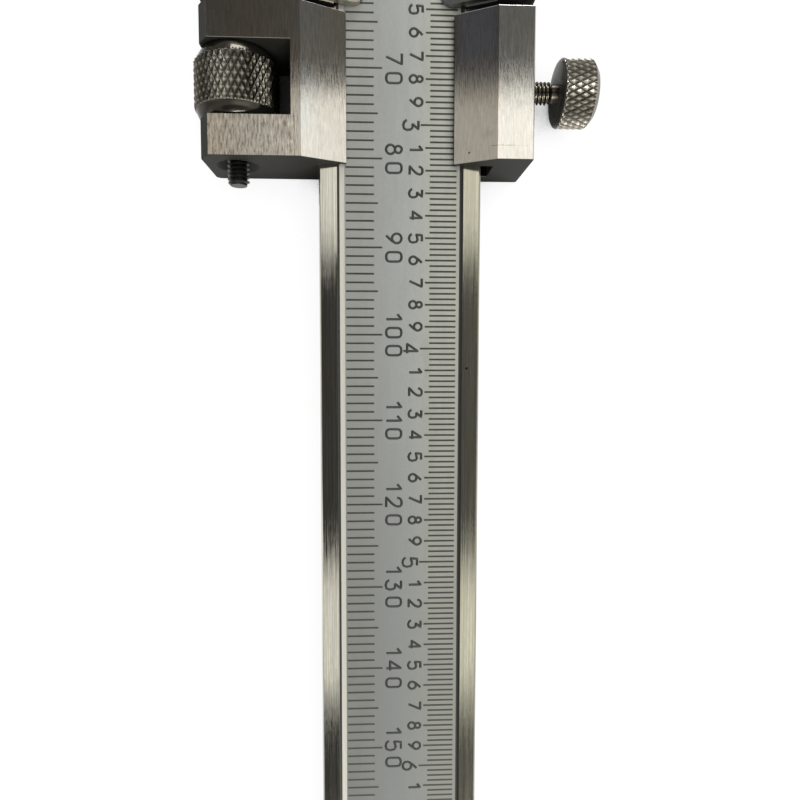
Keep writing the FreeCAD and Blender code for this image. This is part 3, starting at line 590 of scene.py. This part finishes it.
def worn_marks(tree, coords, tone, noise):
    """The carriage's scratch and pit, the worn patch on its nut side, painted reflection tints that
    make the left flat warmer and the right side cooler, and a painted bluish reflection at the top of
    the right slope.
    """
    x, y, z = split(tree, coords)
    path = calc(tree, "ADD", x, times(tree, noise, 0.00003))
    line = calc(tree, "COMPARE", path, SCRATCH_X, 0.000045)
    reach = calc(tree, "COMPARE", y, SCRATCH_Y, 0.0021)
    broken = stretched_noise(tree, coords, (400.0, 2200.0, 400.0), 2.0, 0.5)
    broken = ramp(tree, broken, 0.4, 0.6, 0.05, 0.42)
    scratch = times(tree, times(tree, line, reach), broken)
    tone = mix(tree, scratch, tone, (0.06, 0.055, 0.045, 1.0))
    tone = mix(tree, spot_mask(tree, coords, CARRIAGE_PIT, 0.00012), tone, PIT_COLOUR)
    held = times(tree, ramp(tree, y, -0.0108, -0.0118), ramp(tree, x, 0.0755, 0.0765))
    dashes = stretched_noise(tree, coords, (1000.0, 4600.0, 4600.0), 3.0, 0.62)
    dark = times(tree, held, ramp(tree, dashes, 0.46, 0.66, 0.0, 0.72))
    tone = mix(tree, dark, tone, (0.175, 0.14, 0.118, 1.0))
    light = times(tree, held, ramp(tree, dashes, 0.44, 0.3, 0.0, 0.6))
    tone = mix(tree, light, tone, (0.9, 0.87, 0.8, 1.0))
    # Painted reflection tints: the left flat warmer, the right side cooler and darker
    tone = tinted(tree, ramp(tree, y, -0.0105, -0.0115), tone, (1.06, 1.0, 0.93))
    tone = tinted(tree, ramp(tree, y, 0.0105, 0.0115), tone, (0.9, 0.95, 1.0))
    # Painted reflection: a bluish sky tint at the top of the right slope, near its left end
    painted_sky_reflection = times(tree, ramp(tree, x, 0.0735, 0.0665), ramp(tree, y, 0.011, 0.0095))
    painted_sky_reflection = times(tree, painted_sky_reflection, ramp(tree, y, 0.006, 0.007))
    return tinted(tree, painted_sky_reflection, tone, (1.15, 1.24, 1.55))


def ground_steel(name, colour, rough, bump, shaded_ends=False, marks=True):
    """Ground steel with lines along the beam, tarnish, small pits, painted light and shade by side on
    the plates, and painted shade on end faces and faces towards -Y.
    """
    material, tree, shader, coords = blank_material(name)
    lines = group_node(tree, "ground_lines")
    spots = group_node(tree, "small_marks")
    tarnish = ramp(tree, stretched_noise(tree, coords, (60.0, 110.0, 110.0), 2.0, 0.5), 0.3, 0.7)
    tone = mix(tree, tarnish, shade(colour, 1.02, 0.97, 0.92), shade(colour, 0.95, 0.99, 1.05))
    dimmed = tinted(tree, 1.0, tone, (0.86, 0.86, 0.86))
    tone = mix(tree, lines["Lines"], dimmed, tone)
    tone = mix(tree, times(tree, lines["Patches"], 0.3), tone, shade(colour, 0.62))
    if marks:
        tone = mix(tree, times(tree, spots["Stains"], 0.3), tone, STAIN_COLOUR)
        tone = mix(tree, spots["Pits"], tone, PIT_COLOUR)
        tone = worn_marks(tree, coords, tone, lines["Patches"])
    else:
        # Painted light and shade: the plate on the -Y side is lightened and the plate on the +Y side
        # darkened
        side = split(tree, coords)[1]
        painted_lit_plate = tinted(tree, 1.0, tone, (1.3, 1.27, 1.2))
        painted_shaded_plate = tinted(tree, 1.0, tone, (0.65, 0.67, 0.68))
        tone = mix(tree, ramp(tree, side, -0.004, 0.004), painted_lit_plate, painted_shaded_plate)
    if shaded_ends:
        # Painted shade: end faces and faces towards -Y are darkened to near black, with less metal and
        # more roughness
        normal = add_node(tree, "NewGeometry").outputs["Normal"]
        x, y, z = split(tree, normal)
        ends = ramp(tree, calc(tree, "ABSOLUTE", x), 0.15, 0.5)
        side = ramp(tree, times(tree, y, -1.0), 0.45, 0.75)
        painted_shade = calc(tree, "MAXIMUM", ends, side)
        tone = mix(tree, painted_shade, tone, PAINTED_SHADE_COLOUR)
        shader.inputs["Specular IOR Level"].default_value = 0.1
        tree.links.new(calc(tree, "SUBTRACT", 1.0, times(tree, painted_shade, 0.92)),
                       shader.inputs["Metallic"])
    tree.links.new(tone, shader.inputs["Base Color"])
    rough_out = calc(tree, "ADD", times(tree, lines["Lines"], 0.05),
                     times(tree, lines["Patches"], 0.04))
    rough_out = calc(tree, "ADD", rough_out, rough)
    if shaded_ends:
        rough_out = calc(tree, "MAXIMUM", rough_out, times(tree, painted_shade, 0.6))
    tree.links.new(rough_out, shader.inputs["Roughness"])
    shader.inputs["Metallic"].default_value = 1.0
    bumped(tree, shader, lines["Lines"], bump)
    return material


def beam_steel(colours):
    """The beam: ground rails and edges round a satin scale face, with painted light and shade across
    and along it and a painted dark wall on the recess's +Y side.
    """
    material, tree, shader, coords = blank_material("beam_steel_finish")
    lines = group_node(tree, "ground_lines", {"Length per metre": 90.0})
    spots = group_node(tree, "small_marks", {"Pits per metre": 110.0, "Pit size": 0.03})
    x, y, z = split(tree, coords)
    face = calc(tree, "COMPARE", z, SATIN_FACE_Z, 0.00004)
    inward = calc(tree, "COMPARE", y, SATIN_MIDDLE_Y, SATIN_HALF_WIDTH)
    face = times(tree, face, inward)
    rail = mix(tree, lines["Lines"], shade(colours.rail, 0.72), shade(colours.rail, 1.0))
    rail = mix(tree, times(tree, lines["Patches"], 0.2), rail, shade(colours.rail, 0.6))
    # Painted light and shade across the beam: the rail is darkened and the scale face lightened and
    # warmed towards +Y
    across = ramp(tree, y, -0.006, 0.0065)
    rail = tinted(tree, across, rail, (0.55, 0.55, 0.5))
    middle = calc(tree, "ABSOLUTE", calc(tree, "ADD", y, 0.0002))
    middle = ramp(tree, middle, 0.0012, 0.0045)
    painted_lit_satin = shade(colours.satin, 1.2, 1.2, 1.13)
    satin = mix(tree, across, shade(colours.satin, 0.88), painted_lit_satin)
    # Painted shade: the scale face darkens towards the far end of the beam
    along = ramp(tree, x, 0.085, 0.165, 1.0, 0.56)
    satin = mix(tree, along, shade(colours.satin, 0.0), satin)
    cooler = tinted(tree, 1.0, satin, (0.98, 1.0, 1.06))
    satin = mix(tree, middle, cooler, satin)
    grain = stretched_noise(tree, coords, (2600.0, 5200.0, 5200.0), 3.0, 0.7)
    mottle = stretched_noise(tree, coords, (120.0, 700.0, 700.0), 4.0, 0.6)
    grain = ramp(tree, grain, 0.25, 0.75, 0.0, 0.16)
    satin = mix(tree, grain, satin, shade(colours.satin, 0.55))
    mottle = ramp(tree, mottle, 0.4, 0.7, 0.0, 0.22)
    satin = mix(tree, mottle, satin, shade(colours.satin, 0.7))
    tone = mix(tree, face, rail, satin)
    # Painted shade: the recess's wall on the +Y side is painted near black, the one on the -Y side
    # keeps a darker rail tone
    slope = calc(tree, "COMPARE", z, SATIN_FACE_Z + 0.00013, 0.000165)
    recessed = calc(tree, "LESS_THAN", calc(tree, "ABSOLUTE", y), RAIL_Y)
    recessed = times(tree, recessed, calc(tree, "SUBTRACT", 1.0, face))
    slope = times(tree, slope, recessed)
    lit = times(tree, calc(tree, "LESS_THAN", y, 0.0),
                calc(tree, "LESS_THAN", z, SATIN_FACE_Z + 0.00017))
    painted_wall = mix(tree, lit, SHADED_WALL_COLOUR, shade(colours.rail, 0.5))
    tone = mix(tree, slope, tone, painted_wall)
    tone = mix(tree, spots["Pits"], tone, (0.03, 0.028, 0.024, 1.0))
    tone = mix(tree, spot_mask(tree, coords, RAIL_PIT, 0.00018), tone, PIT_COLOUR)
    tree.links.new(tone, shader.inputs["Base Color"])
    rail_rough = calc(tree, "ADD", times(tree, lines["Lines"], 0.05), 0.04)
    rail_rough = calc(tree, "ADD", rail_rough, times(tree, across, 0.05))
    soft = calc(tree, "MAXIMUM", face, slope)
    face_gain = times(tree, soft, 0.42)
    tree.links.new(calc(tree, "ADD", rail_rough, face_gain), shader.inputs["Roughness"])
    dull = calc(tree, "MAXIMUM", times(tree, soft, 0.7), times(tree, across, 0.06))
    tree.links.new(calc(tree, "SUBTRACT", 1.0, dull), shader.inputs["Metallic"])
    shader.inputs["Specular IOR Level"].default_value = 0.15
    height = calc(tree, "SUBTRACT", 1.0, times(tree, face, 0.7))
    bumped(tree, shader, times(tree, lines["Lines"], height), 0.0000028)
    return material


def knurled_steel(name, colour, rough, reach, dull):
    """Knurled steel, darker towards the floors of its grooves, with painted shade on its turned faces
    and its flank towards -Y; dull is how far its turned faces lose gloss.
    """
    material, tree, shader, coords = blank_material(name)
    groove_masks = group_node(tree, "knurl_grooves", {"Reach": reach})
    spots = group_node(tree, "small_marks", {"Pits per metre": 500.0, "Pit size": 0.05})
    cloud = ramp(tree, stretched_noise(tree, coords, (500.0, 500.0, 500.0), 3.0, 0.6), 0.3, 0.7)
    tone = mix(tree, cloud, shade(colour, 0.8), shade(colour, 1.15))
    stains = times(tree, spots["Stains"], 0.35)
    tone = mix(tree, stains, tone, shade(colour, 0.45))
    # Darker towards the floors of the grooves
    tone = mix(tree, groove_masks["Groove darkening"], tone, shade(colour, 0.32))
    # Painted shade: the turned, unknurled faces are darkened
    tone = mix(tree, groove_masks["Turned"], tone, shade(colour, 0.12 + 0.1 * dull))
    normal = add_node(tree, "NewGeometry").outputs["Normal"]
    # Painted shade: faces towards -Y are darkened to near black and lose their metal
    shaded_flank = split(tree, normal)[1]
    shaded_flank = ramp(tree, shaded_flank, -0.4, -0.75, 0.0, 0.9)
    tone = mix(tree, shaded_flank, tone, (0.03, 0.029, 0.025, 1.0))
    shade_and_dull = calc(tree, "MAXIMUM", shaded_flank, times(tree, groove_masks["Turned"], dull))
    tree.links.new(calc(tree, "SUBTRACT", 1.0, shade_and_dull), shader.inputs["Metallic"])
    shader.inputs["Specular IOR Level"].default_value = 0.3
    shader.inputs["Specular Tint"].default_value = (0.25, 0.25, 0.25, 1.0)
    tree.links.new(tone, shader.inputs["Base Color"])
    matt = calc(tree, "ADD", times(tree, cloud, 0.1), rough)
    polish = calc(tree, "SUBTRACT", 1.0, times(tree, groove_masks["Turned"], 0.5))
    tree.links.new(times(tree, matt, polish), shader.inputs["Roughness"])
    grain = stretched_noise(tree, coords, (6000.0, 6000.0, 6000.0), 2.0, 0.5)
    bumped(tree, shader, grain, 0.000003)
    return material


def plain_metal(name, colour, rough, metallic=1.0, scale=2500.0, contrast=0.25, bump=0.000004):
    """A metal with fine mottling, for the small pieces."""
    material, tree, shader, coords = blank_material(name)
    noise = stretched_noise(tree, coords, (scale, scale, scale), 4.0, 0.6)
    cloud = stretched_noise(tree, coords, (300.0, 300.0, 300.0), 3.0, 0.55)
    grain = ramp(tree, noise, 0.3, 0.7)
    tone = mix(tree, grain, shade(colour, 1.0 - contrast), shade(colour, 1.0))
    tone = mix(tree, ramp(tree, cloud, 0.4, 0.75, 0.0, 0.5), tone, shade(colour, 0.7))
    tree.links.new(tone, shader.inputs["Base Color"])
    tree.links.new(ramp(tree, noise, 0.2, 0.8, rough, rough + 0.15), shader.inputs["Roughness"])
    shader.inputs["Metallic"].default_value = metallic
    bumped(tree, shader, noise, bump)
    return material


# Operators

class CALIPER_OT_finishes(bpy.types.Operator):
    """Makes the finishes and gives them to the pieces that come straight from the frame"""
    bl_idname = "caliper.finishes"
    bl_label = "Finishes"

    def execute(self, context):
        colours = context.scene.caliper_colours
        ground_lines_group()
        small_marks_group()
        knurl_dirt_group()
        beam = beam_steel(colours)
        body = ground_steel("frame_steel_finish", colours.frame, 0.025, 0.0000018, shaded_ends=True)
        plate = ground_steel("plate_steel_finish", colours.plate, 0.3, 0.000004, marks=False)
        knurled_steel("knob_steel_finish", colours.knurl, 0.3, 0.8, 0.85)
        knurled_steel("nut_steel_finish", colours.nut, 0.2, 0.8, 0.12)
        plain_metal("black_steel_finish", colours.black, 0.28, metallic=0.6)
        plain_metal("thread_steel_finish", colours.thread, 0.2)
        plain_metal("ink_finish", colours.ink, 0.55, metallic=0.0, scale=1400.0, contrast=0.5,
                    bump=0.000001)
        screws = plain_metal("small_screw_finish", (0.5, 0.49, 0.46), 0.22)
        brass = plain_metal("brass_finish", colours.brass, 0.25, scale=1200.0)
        for name, material in (
            ("main_beam", beam), ("beam_end_stop", body), ("end_stop_screws", screws),
            ("slider_frame", body), ("metric_vernier_plate", plate), ("inch_vernier_plate", plate),
            ("slider_gib_strip", brass), ("slider_gib_screws", screws), ("slider_clamp_pad", brass),
            ("screw_cross_pin", screws), ("carriage_body", body), ("carriage_leaf_spring", brass),
            ("carriage_clamp_pad", brass),
        ):
            mesh = frame["nodes"][name].data
            mesh.materials.clear()
            mesh.materials.append(material)
        for name, width in (("main_beam", 0.05), ("carriage_body", 0.07), ("slider_frame", 0.07),
                            ("beam_end_stop", 0.1)):
            piece = frame["nodes"][name]
            weld = piece.modifiers.new("joined_faces", "WELD")
            weld.merge_threshold = 1e-6
            rim = piece.modifiers.new("broken_edges", "BEVEL")
            rim.width = width * MM
            rim.segments = 2
            rim.limit_method = "ANGLE"
            rim.angle_limit = math.radians(35)
            rim.use_clamp_overlap = True
        return {"FINISHED"}


class CALIPER_OT_beam_marks(bpy.types.Operator):
    """Makes the millimetre and inch graduations and numbers of the beam"""
    bl_idname = "caliper.beam_marks"
    bl_label = "Beam graduations"

    def execute(self, context):
        sizes = context.scene.caliper_scales
        store = {}
        face = facing(Vector((0, 0, SATIN_FACE_Z)), X_AXIS, Y_AXIS)
        ticks = bmesh.new()
        numbers = bmesh.new()
        for value in range(sizes.last_millimetre + 1):
            add_tick(ticks, face, value * MM, METRIC_OUTER * MM, graded(value, 10, 5, METRIC_INNER),
                     sizes.tick_width, sizes.relief)
            if value % 10 == 0:
                add_number(numbers, str(value), face, value * MM, METRIC_FOOT * MM,
                           sizes.metric_height, sizes.stroke, sizes.relief, store)
        finished("millimetre_graduations", ticks, "ink_finish", "beam")
        finished("millimetre_numbers", numbers, "ink_finish", "beam")
        ticks = bmesh.new()
        numbers = bmesh.new()
        for value in range(sizes.last_fortieth + 1):
            x = value * INCH / 40
            add_tick(ticks, face, x, graded(value, 40, 4, INCH_INNER), INCH_OUTER * MM,
                     sizes.tick_width, sizes.relief)
            if value % 40 == 0:
                add_number(numbers, str(value // 40), face, x, INCH_FEET[0] * MM, sizes.inch_height,
                           sizes.stroke, sizes.relief, store)
            elif value % 4 == 0:
                add_number(numbers, str(value // 4 % 10), face, x, INCH_FEET[1] * MM,
                           sizes.tenth_height, sizes.stroke, sizes.relief, store)
        finished("inch_graduations", ticks, "ink_finish", "beam")
        finished("inch_numbers", numbers, "ink_finish", "beam")
        return {"FINISHED"}


class CALIPER_OT_vernier_marks(bpy.types.Operator):
    """Makes the graduations and numbers of the two vernier plates"""
    bl_idname = "caliper.vernier_marks"
    bl_label = "Vernier graduations"

    def execute(self, context):
        sizes = context.scene.caliper_scales
        store = {}
        metric = (-1, "metric_vernier_plate", 50, 49.0 / 50 * MM, 5, 10, lambda n: str(n // 5))
        inch = (1, "inch_vernier_plate", 25, 1.225 * INCH / 25, 5, 5, str)
        for sign, node, count, step, middle, number_step, label in (metric, inch):
            lip, lip_top, rise = plate_slope(node, sign)
            up = Vector((0, 1, sign * rise)).normalized()
            plane = facing(Vector((0, lip, lip_top)), X_AXIS, up)
            ticks = bmesh.new()
            numbers = bmesh.new()
            for k in range(count + 1):
                reach = graded(k, number_step, middle, PLATE_LINES)
                add_tick(ticks, plane, k * step, sign * PLATE_LAP * MM, sign * reach,
                         sizes.tick_width * 0.8, sizes.relief)
                if k % number_step == 0 or (sign < 0 and k % 5 == 0):
                    foot = PLATE_FOOT * MM if sign > 0 else -PLATE_FOOT * MM - sizes.vernier_height
                    add_number(numbers, label(k), plane, k * step, foot, sizes.vernier_height,
                               sizes.stroke * 0.75, sizes.relief, store)
            kind = "metric" if sign < 0 else "inch"
            finished(kind + "_vernier_graduations", ticks, "ink_finish", "slider")
            finished(kind + "_vernier_numbers", numbers, "ink_finish", "slider")
        return {"FINISHED"}


class CALIPER_OT_nut(bpy.types.Operator):
    """Makes the knurled fine-adjust nut"""
    bl_idname = "caliper.nut"
    bl_label = "Fine-adjust nut"

    def execute(self, context):
        sizes = context.scene.caliper_knurls
        low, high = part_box("fine_adjust_nut")
        spare = NUT_SPARE * MM
        length = high.x - low.x + 2 * spare
        radius = (high.y - low.y) / 2
        base = Vector((low.x - spare, (low.y + high.y) / 2, (low.z + high.z) / 2))
        bore = NUT_BORE * MM
        first = NUT_KNURL_START * MM
        last = length - first
        rows = round((last - first) / (sizes.nut_row / 4))
        grooved = radius - sizes.nut_depth
        end = [(0, bore + 0.25 * MM)] + [(along * MM, radius - depth * MM) for along, depth in NUT_END]
        end += [(1.25 * MM, grooved - 0.04 * MM)]
        profile = end + [(first + (last - first) * k / rows, radius) for k in range(rows + 1)]
        profile += [(length - along, r) for along, r in reversed(end)]
        profile += [(length - 0.25 * MM, bore), (0.25 * MM, bore), profile[0]]
        bm = bmesh.new()
        turn(bm, base, X_AXIS, profile, sizes.nut_count * 4)
        knurl(bm, base, X_AXIS, first, last, rows, sizes.nut_count, radius, sizes.nut_depth)
        finished("knurled_nut", bm, "nut_steel_finish", "nut", ("fine_adjust_nut",),
                 soft=24)
        return {"FINISHED"}


class CALIPER_OT_fine_screw(bpy.types.Operator):
    """Makes the threaded fine-adjust screw"""
    bl_idname = "caliper.fine_screw"
    bl_label = "Fine-adjust screw"

    def execute(self, context):
        sizes = context.scene.caliper_knurls
        low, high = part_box("fine_adjust_screw")
        radius = (high.y - low.y) / 2
        start = Vector((low.x, (low.y + high.y) / 2, (low.z + high.z) / 2))
        lug_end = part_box("slider_frame")[1].x
        bm = bmesh.new()
        thread_start = lug_end - 0.2 * MM
        tail_end = high.x + 0.3 * MM
        add_thread(bm, Vector((thread_start, start.y, start.z)), X_AXIS, tail_end - thread_start,
                   radius, sizes.fine_pitch, 0.33 * MM)
        shank = lug_end - 0.1 * MM - start.x
        profile = [(0, 0), (0, radius - 0.2 * MM), (0.2 * MM, radius), (shank, radius), (shank, 0)]
        turn(bm, start, X_AXIS, profile, 32)
        finished("threaded_fine_screw", bm, "black_steel_finish", "slider",
                 ("fine_adjust_screw",), soft=30)
        return {"FINISHED"}


class CALIPER_OT_clamp_screws(bpy.types.Operator):
    """Makes the two clamp screws: thread, neck and knurled knob"""
    bl_idname = "caliper.clamp_screws"
    bl_label = "Clamp screws"

    def execute(self, context):
        sizes = context.scene.caliper_knurls
        for node, body, name in (
            ("carriage_clamp_screw", "carriage_clamp", "knurled_carriage_clamp"),
            ("slider_clamp_screw", "slider_clamp", "knurled_slider_clamp"),
        ):
            low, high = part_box(node)
            radius = (high.x - low.x) / 2
            base = Vector(((low.x + high.x) / 2, low.y, (low.z + high.z) / 2))
            total = high.y - low.y
            neck_radius = NECK_RADIUS * MM
            knob_start = total - KNOB_LENGTH * MM
            neck_start = knob_start - NECK_LENGTH * MM
            inside = neck_start - 0.2 * MM
            first = knob_start + 0.3 * MM
            last = total - 0.62 * MM
            rows = round((last - first) / (sizes.knob_row / 4))
            grooved = radius - sizes.knob_depth
            profile = [(inside, 0), (inside, neck_radius - 0.2 * MM), (inside, neck_radius - 0.15 * MM),
                       (neck_start, neck_radius), (knob_start, neck_radius),
                       (knob_start, radius - 0.5 * MM), (knob_start + 0.05 * MM, radius - 0.3 * MM),
                       (knob_start + 0.16 * MM, radius - 0.14 * MM),
                       (first - 0.08 * MM, grooved + 0.06 * MM)]
            profile += [(first + (last - first) * k / rows, radius) for k in range(rows + 1)]
            profile += [(last + 0.12 * MM, grooved), (total - 0.2 * MM, radius - 0.62 * MM),
                        (total - 0.05 * MM, radius - 0.82 * MM), (total, radius - 1.05 * MM),
                        (total, 0)]
            bm = bmesh.new()
            turn(bm, base, Y_AXIS, profile, sizes.knob_count * 4)
            knurl(bm, base, Y_AXIS, first, last, rows, sizes.knob_count, radius, sizes.knob_depth)
            add_thread(bm, base, Y_AXIS, neck_start, CLAMP_RADIUS * MM, sizes.clamp_pitch, 0.22 * MM)
            for face in bm.faces:
                centre = face.calc_center_median()
                if (centre - base).dot(Y_AXIS) < knob_start - 0.02 * MM:
                    face.material_index = 1
            piece = finished(name, bm, "knob_steel_finish", body, (node,), soft=24)
            piece.data.materials.append(bpy.data.materials["thread_steel_finish"])
        return {"FINISHED"}


class CALIPER_OT_plate_screws(bpy.types.Operator):
    """Makes the slotted countersunk screws of the vernier plates"""
    bl_idname = "caliper.plate_screws"
    bl_label = "Plate screws"

    def execute(self, context):
        for sign, plate, node in (
            (-1, "metric_vernier_plate", "metric_vernier_screws"),
            (1, "inch_vernier_plate", "inch_vernier_screws"),
        ):
            low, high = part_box(plate)
            lip, lip_top, rise = plate_slope(plate, sign)
            inward = Vector((0, sign * rise, -1)).normalized()
            bm = bmesh.new()
            margin = PLATE_SCREW_MARGIN * MM
            for x, slot_angle in ((low.x + margin, 0.5), (high.x - margin, 1.9)):
                y = sign * PLATE_SCREW_Y * MM
                head = Vector((x, y, lip_top + (abs(y) - abs(lip)) * rise))
                sunk = 0.03 * MM
                profile = [(sunk, 0), (sunk, 1.24 * MM), (0.12 * MM, 1.36 * MM), (0.62 * MM, 0.8 * MM),
                           (1.9 * MM, 0.8 * MM), (1.9 * MM, 0)]
                turn(bm, head, inward, profile, 32)
                top = faces_near(bm, head, inward, sunk, 1e-6, 1.4 * MM)
                bmesh.ops.dissolve_faces(bm, faces=top, use_verts=False)
                side = inward.orthogonal().normalized()
                across = side * math.cos(slot_angle) + inward.cross(side) * math.sin(slot_angle)
                for offset in (-0.2, 0.2):
                    near = faces_near(bm, head, inward, 0, 0.04 * MM, 1.6 * MM)
                    geom = near + list(dict.fromkeys(e for f in near for e in f.edges))
                    geom += dict.fromkeys(v for f in near for v in f.verts)
                    bmesh.ops.bisect_plane(bm, geom=geom, dist=1e-9, plane_no=across,
                                           plane_co=head + across * offset * MM)
                floor = [f for f in faces_near(bm, head, inward, sunk, 1e-6, 0.6 * MM)
                         if abs((f.calc_center_median() - head).dot(across)) < 0.1 * MM]
                slot = bmesh.ops.extrude_face_region(bm, geom=floor)["geom"]
                moved = [g for g in slot if isinstance(g, bmesh.types.BMVert)]
                bmesh.ops.delete(bm, geom=floor, context="FACES_ONLY")
                bmesh.ops.translate(bm, vec=inward * 0.35 * MM, verts=moved)
            kind = "metric" if sign < 0 else "inch"
            finished(kind + "_plate_screws", bm, "small_screw_finish", "slider",
                     (node,))
        return {"FINISHED"}


class CALIPER_OT_stage(bpy.types.Operator):
    """Makes the floor, the camera and the light"""
    bl_idname = "caliper.stage"
    bl_label = "Stage"

    def execute(self, context):
        scene = context.scene
        bm = bmesh.new()
        bmesh.ops.create_grid(bm, x_segments=1, y_segments=1, size=3.0)
        mesh = bpy.data.meshes.new("floor")
        bm.to_mesh(mesh)
        bm.free()
        mesh.transform(Matrix.Translation((0.1, 0, -0.0002)))
        floor = bpy.data.objects.new("floor", mesh)
        scene.collection.objects.link(floor)
        material = bpy.data.materials.new("pale_floor")
        material.use_nodes = True
        tree = material.node_tree
        tree.nodes.clear()
        path = add_node(tree, "LightPath")
        # Painted contact shadow: ambient occlusion dims the floor's glow near the caliper and darkens
        # its colour where it is occluded
        open_sky = add_node(tree, "AmbientOcclusion", {"Distance": 0.012}, samples=16)
        open_sky = open_sky.outputs["AO"]
        direct = times(tree, path.outputs["Is Camera Ray"], ramp(tree, open_sky, 0.16, 0.34))
        mirrored = calc(tree, "MAXIMUM", path.outputs["Is Glossy Ray"],
                        path.outputs["Is Transmission Ray"])
        mirrored = times(tree, mirrored, ramp(tree, open_sky, 0.35, 0.8))
        seen = calc(tree, "MAXIMUM", direct, mirrored)
        tone = mix(tree, ramp(tree, open_sky, 0.32, 0.62), (0.04, 0.04, 0.04, 1),
                   (0.93, 0.93, 0.93, 1))
        pale = add_node(tree, "BsdfDiffuse", {"Color": tone})
        white = add_node(tree, "Emission", {"Color": (1, 1, 1, 1), "Strength": 1.0})
        mixed_output(tree, "OutputMaterial", times(tree, seen, 0.92), pale, white)
        mesh.materials.append(material)
        self.camera(scene)
        self.world(scene)
        for name, spot, width, height, watts, mirrored in LAMPS:
            self.lamp(scene, name, Vector(spot), width, height, watts).visible_glossy = mirrored
        scene.view_settings.view_transform = "Standard"
        return {"FINISHED"}

    def lamp(self, scene, name, spot, width, height, energy):
        """A softbox that faces the middle of the beam."""
        data = bpy.data.lights.new(name, "AREA")
        data.shape = "RECTANGLE"
        data.size = width
        data.size_y = height
        data.energy = energy
        holder = bpy.data.objects.new(name, data)
        aim = (Vector((0.1, 0, 0)) - spot).to_track_quat("-Z", "Y").to_matrix().to_4x4()
        holder.matrix_world = Matrix.Translation(spot) @ aim
        scene.collection.objects.link(holder)
        return holder

    def camera(self, scene):
        """The photograph's viewpoint: close above the beam, the beam running down the picture."""
        data = bpy.data.cameras.new("camera")
        data.sensor_width = 36.0
        data.lens = 27.9
        data.clip_start = 0.002
        data.clip_end = 20.0
        camera = bpy.data.objects.new("camera", data)
        right = CAMERA_RIGHT.normalized()
        back = CAMERA_BACK.normalized()
        up = back.cross(right).normalized()
        matrix = Matrix((right, up, back)).transposed().to_4x4()
        matrix.translation = CAMERA_PLACE
        camera.matrix_world = matrix
        scene.collection.objects.link(camera)
        scene.camera = camera

    def world(self, scene):
        """A studio with two long softboxes overhead, dim gaps round them and a pale horizon."""
        world = bpy.data.worlds.new("studio")
        scene.world = world
        world.use_nodes = True
        tree = world.node_tree
        tree.nodes.clear()
        along, side, up = split(tree, add_node(tree, "TexCoord").outputs["Generated"])
        across = calc(tree, "DIVIDE", side, calc(tree, "MAXIMUM", up, 0.02))
        boxes = [
            times(tree, ramp(tree, along, start, full), ramp(tree, along, end, fade))
            for start, full, fade, end in (LEFT_BOX, RIGHT_BOX)
        ]
        boxes = calc(tree, "ADD", *boxes)
        gain = ramp(tree, across, -0.25, 0.25, 0.57, 1.75)
        gain = times(tree, gain, ramp(tree, across, 1.6, 0.5, 0.5))
        ends = ramp(tree, calc(tree, "ABSOLUTE", along), 0.6, 0.8, 0.0, 1.3)
        middle = calc(tree, "ABSOLUTE", calc(tree, "SUBTRACT", side, 0.08))
        ends = times(tree, ends, ramp(tree, middle, 0.4, 0.15, 0.25))
        horizon = ramp(tree, up, 0.4, 0.1, 0.0, 0.5)
        far = calc(tree, "MAXIMUM", ends, horizon)
        level = calc(tree, "ADD", times(tree, boxes, gain), far)
        sides = ramp(tree, calc(tree, "ABSOLUTE", across), 0.6, 1.1, 0.0, 0.4)
        sides = times(tree, sides, ramp(tree, along, -0.2, -0.05))
        dim = times(tree, gain, ramp(tree, along, -0.36, -0.4, 0.045, 0.105))
        dim = calc(tree, "ADD", dim, 0.015)
        level = calc(tree, "ADD", calc(tree, "MAXIMUM", level, sides), dim)
        path = add_node(tree, "LightPath")
        inputs = {"Color": (1.0, 0.985, 0.93, 1), "Strength": level}
        light = add_node(tree, "Background", inputs)
        white = add_node(tree, "Background", {"Color": (1, 1, 1, 1), "Strength": 1.0})
        mixed_output(tree, "OutputWorld", path.outputs["Is Camera Ray"], light, white)


class CALIPER_PT_panel(bpy.types.Panel):
    """Lists the operators and sizes of the caliper"""
    bl_idname = "CALIPER_PT_panel"
    bl_label = "Vernier caliper"
    bl_space_type = "VIEW_3D"
    bl_region_type = "UI"
    bl_category = "Caliper"

    def draw(self, context):
        for settings in (context.scene.caliper_scales, context.scene.caliper_knurls,
                         context.scene.caliper_colours):
            for key in settings.bl_rna.properties.keys():
                if key not in ("rna_type", "name"):
                    self.layout.prop(settings, key)
        for operator in OPERATORS:
            self.layout.operator(operator.bl_idname)


OPERATORS = (
    CALIPER_OT_finishes, CALIPER_OT_beam_marks, CALIPER_OT_vernier_marks, CALIPER_OT_nut,
    CALIPER_OT_fine_screw, CALIPER_OT_clamp_screws, CALIPER_OT_plate_screws, CALIPER_OT_stage,
)
CLASSES = (ScaleSizes, KnurlSizes, FinishColours) + OPERATORS + (CALIPER_PT_panel,)


def register():
    for cls in CLASSES:
        bpy.utils.register_class(cls)
    bpy.types.Scene.caliper_scales = PointerProperty(type=ScaleSizes)
    bpy.types.Scene.caliper_knurls = PointerProperty(type=KnurlSizes)
    bpy.types.Scene.caliper_colours = PointerProperty(type=FinishColours)


def unregister():
    del bpy.types.Scene.caliper_colours
    del bpy.types.Scene.caliper_knurls
    del bpy.types.Scene.caliper_scales
    for cls in reversed(CLASSES):
        bpy.utils.unregister_class(cls)


def main():
    register()
    bpy.ops.caliper.finishes()
    bpy.ops.caliper.beam_marks()
    bpy.ops.caliper.vernier_marks()
    bpy.ops.caliper.nut()
    bpy.ops.caliper.fine_screw()
    bpy.ops.caliper.clamp_screws()
    bpy.ops.caliper.plate_screws()
    bpy.ops.caliper.stage()


if __name__ == "__main__":
    main()
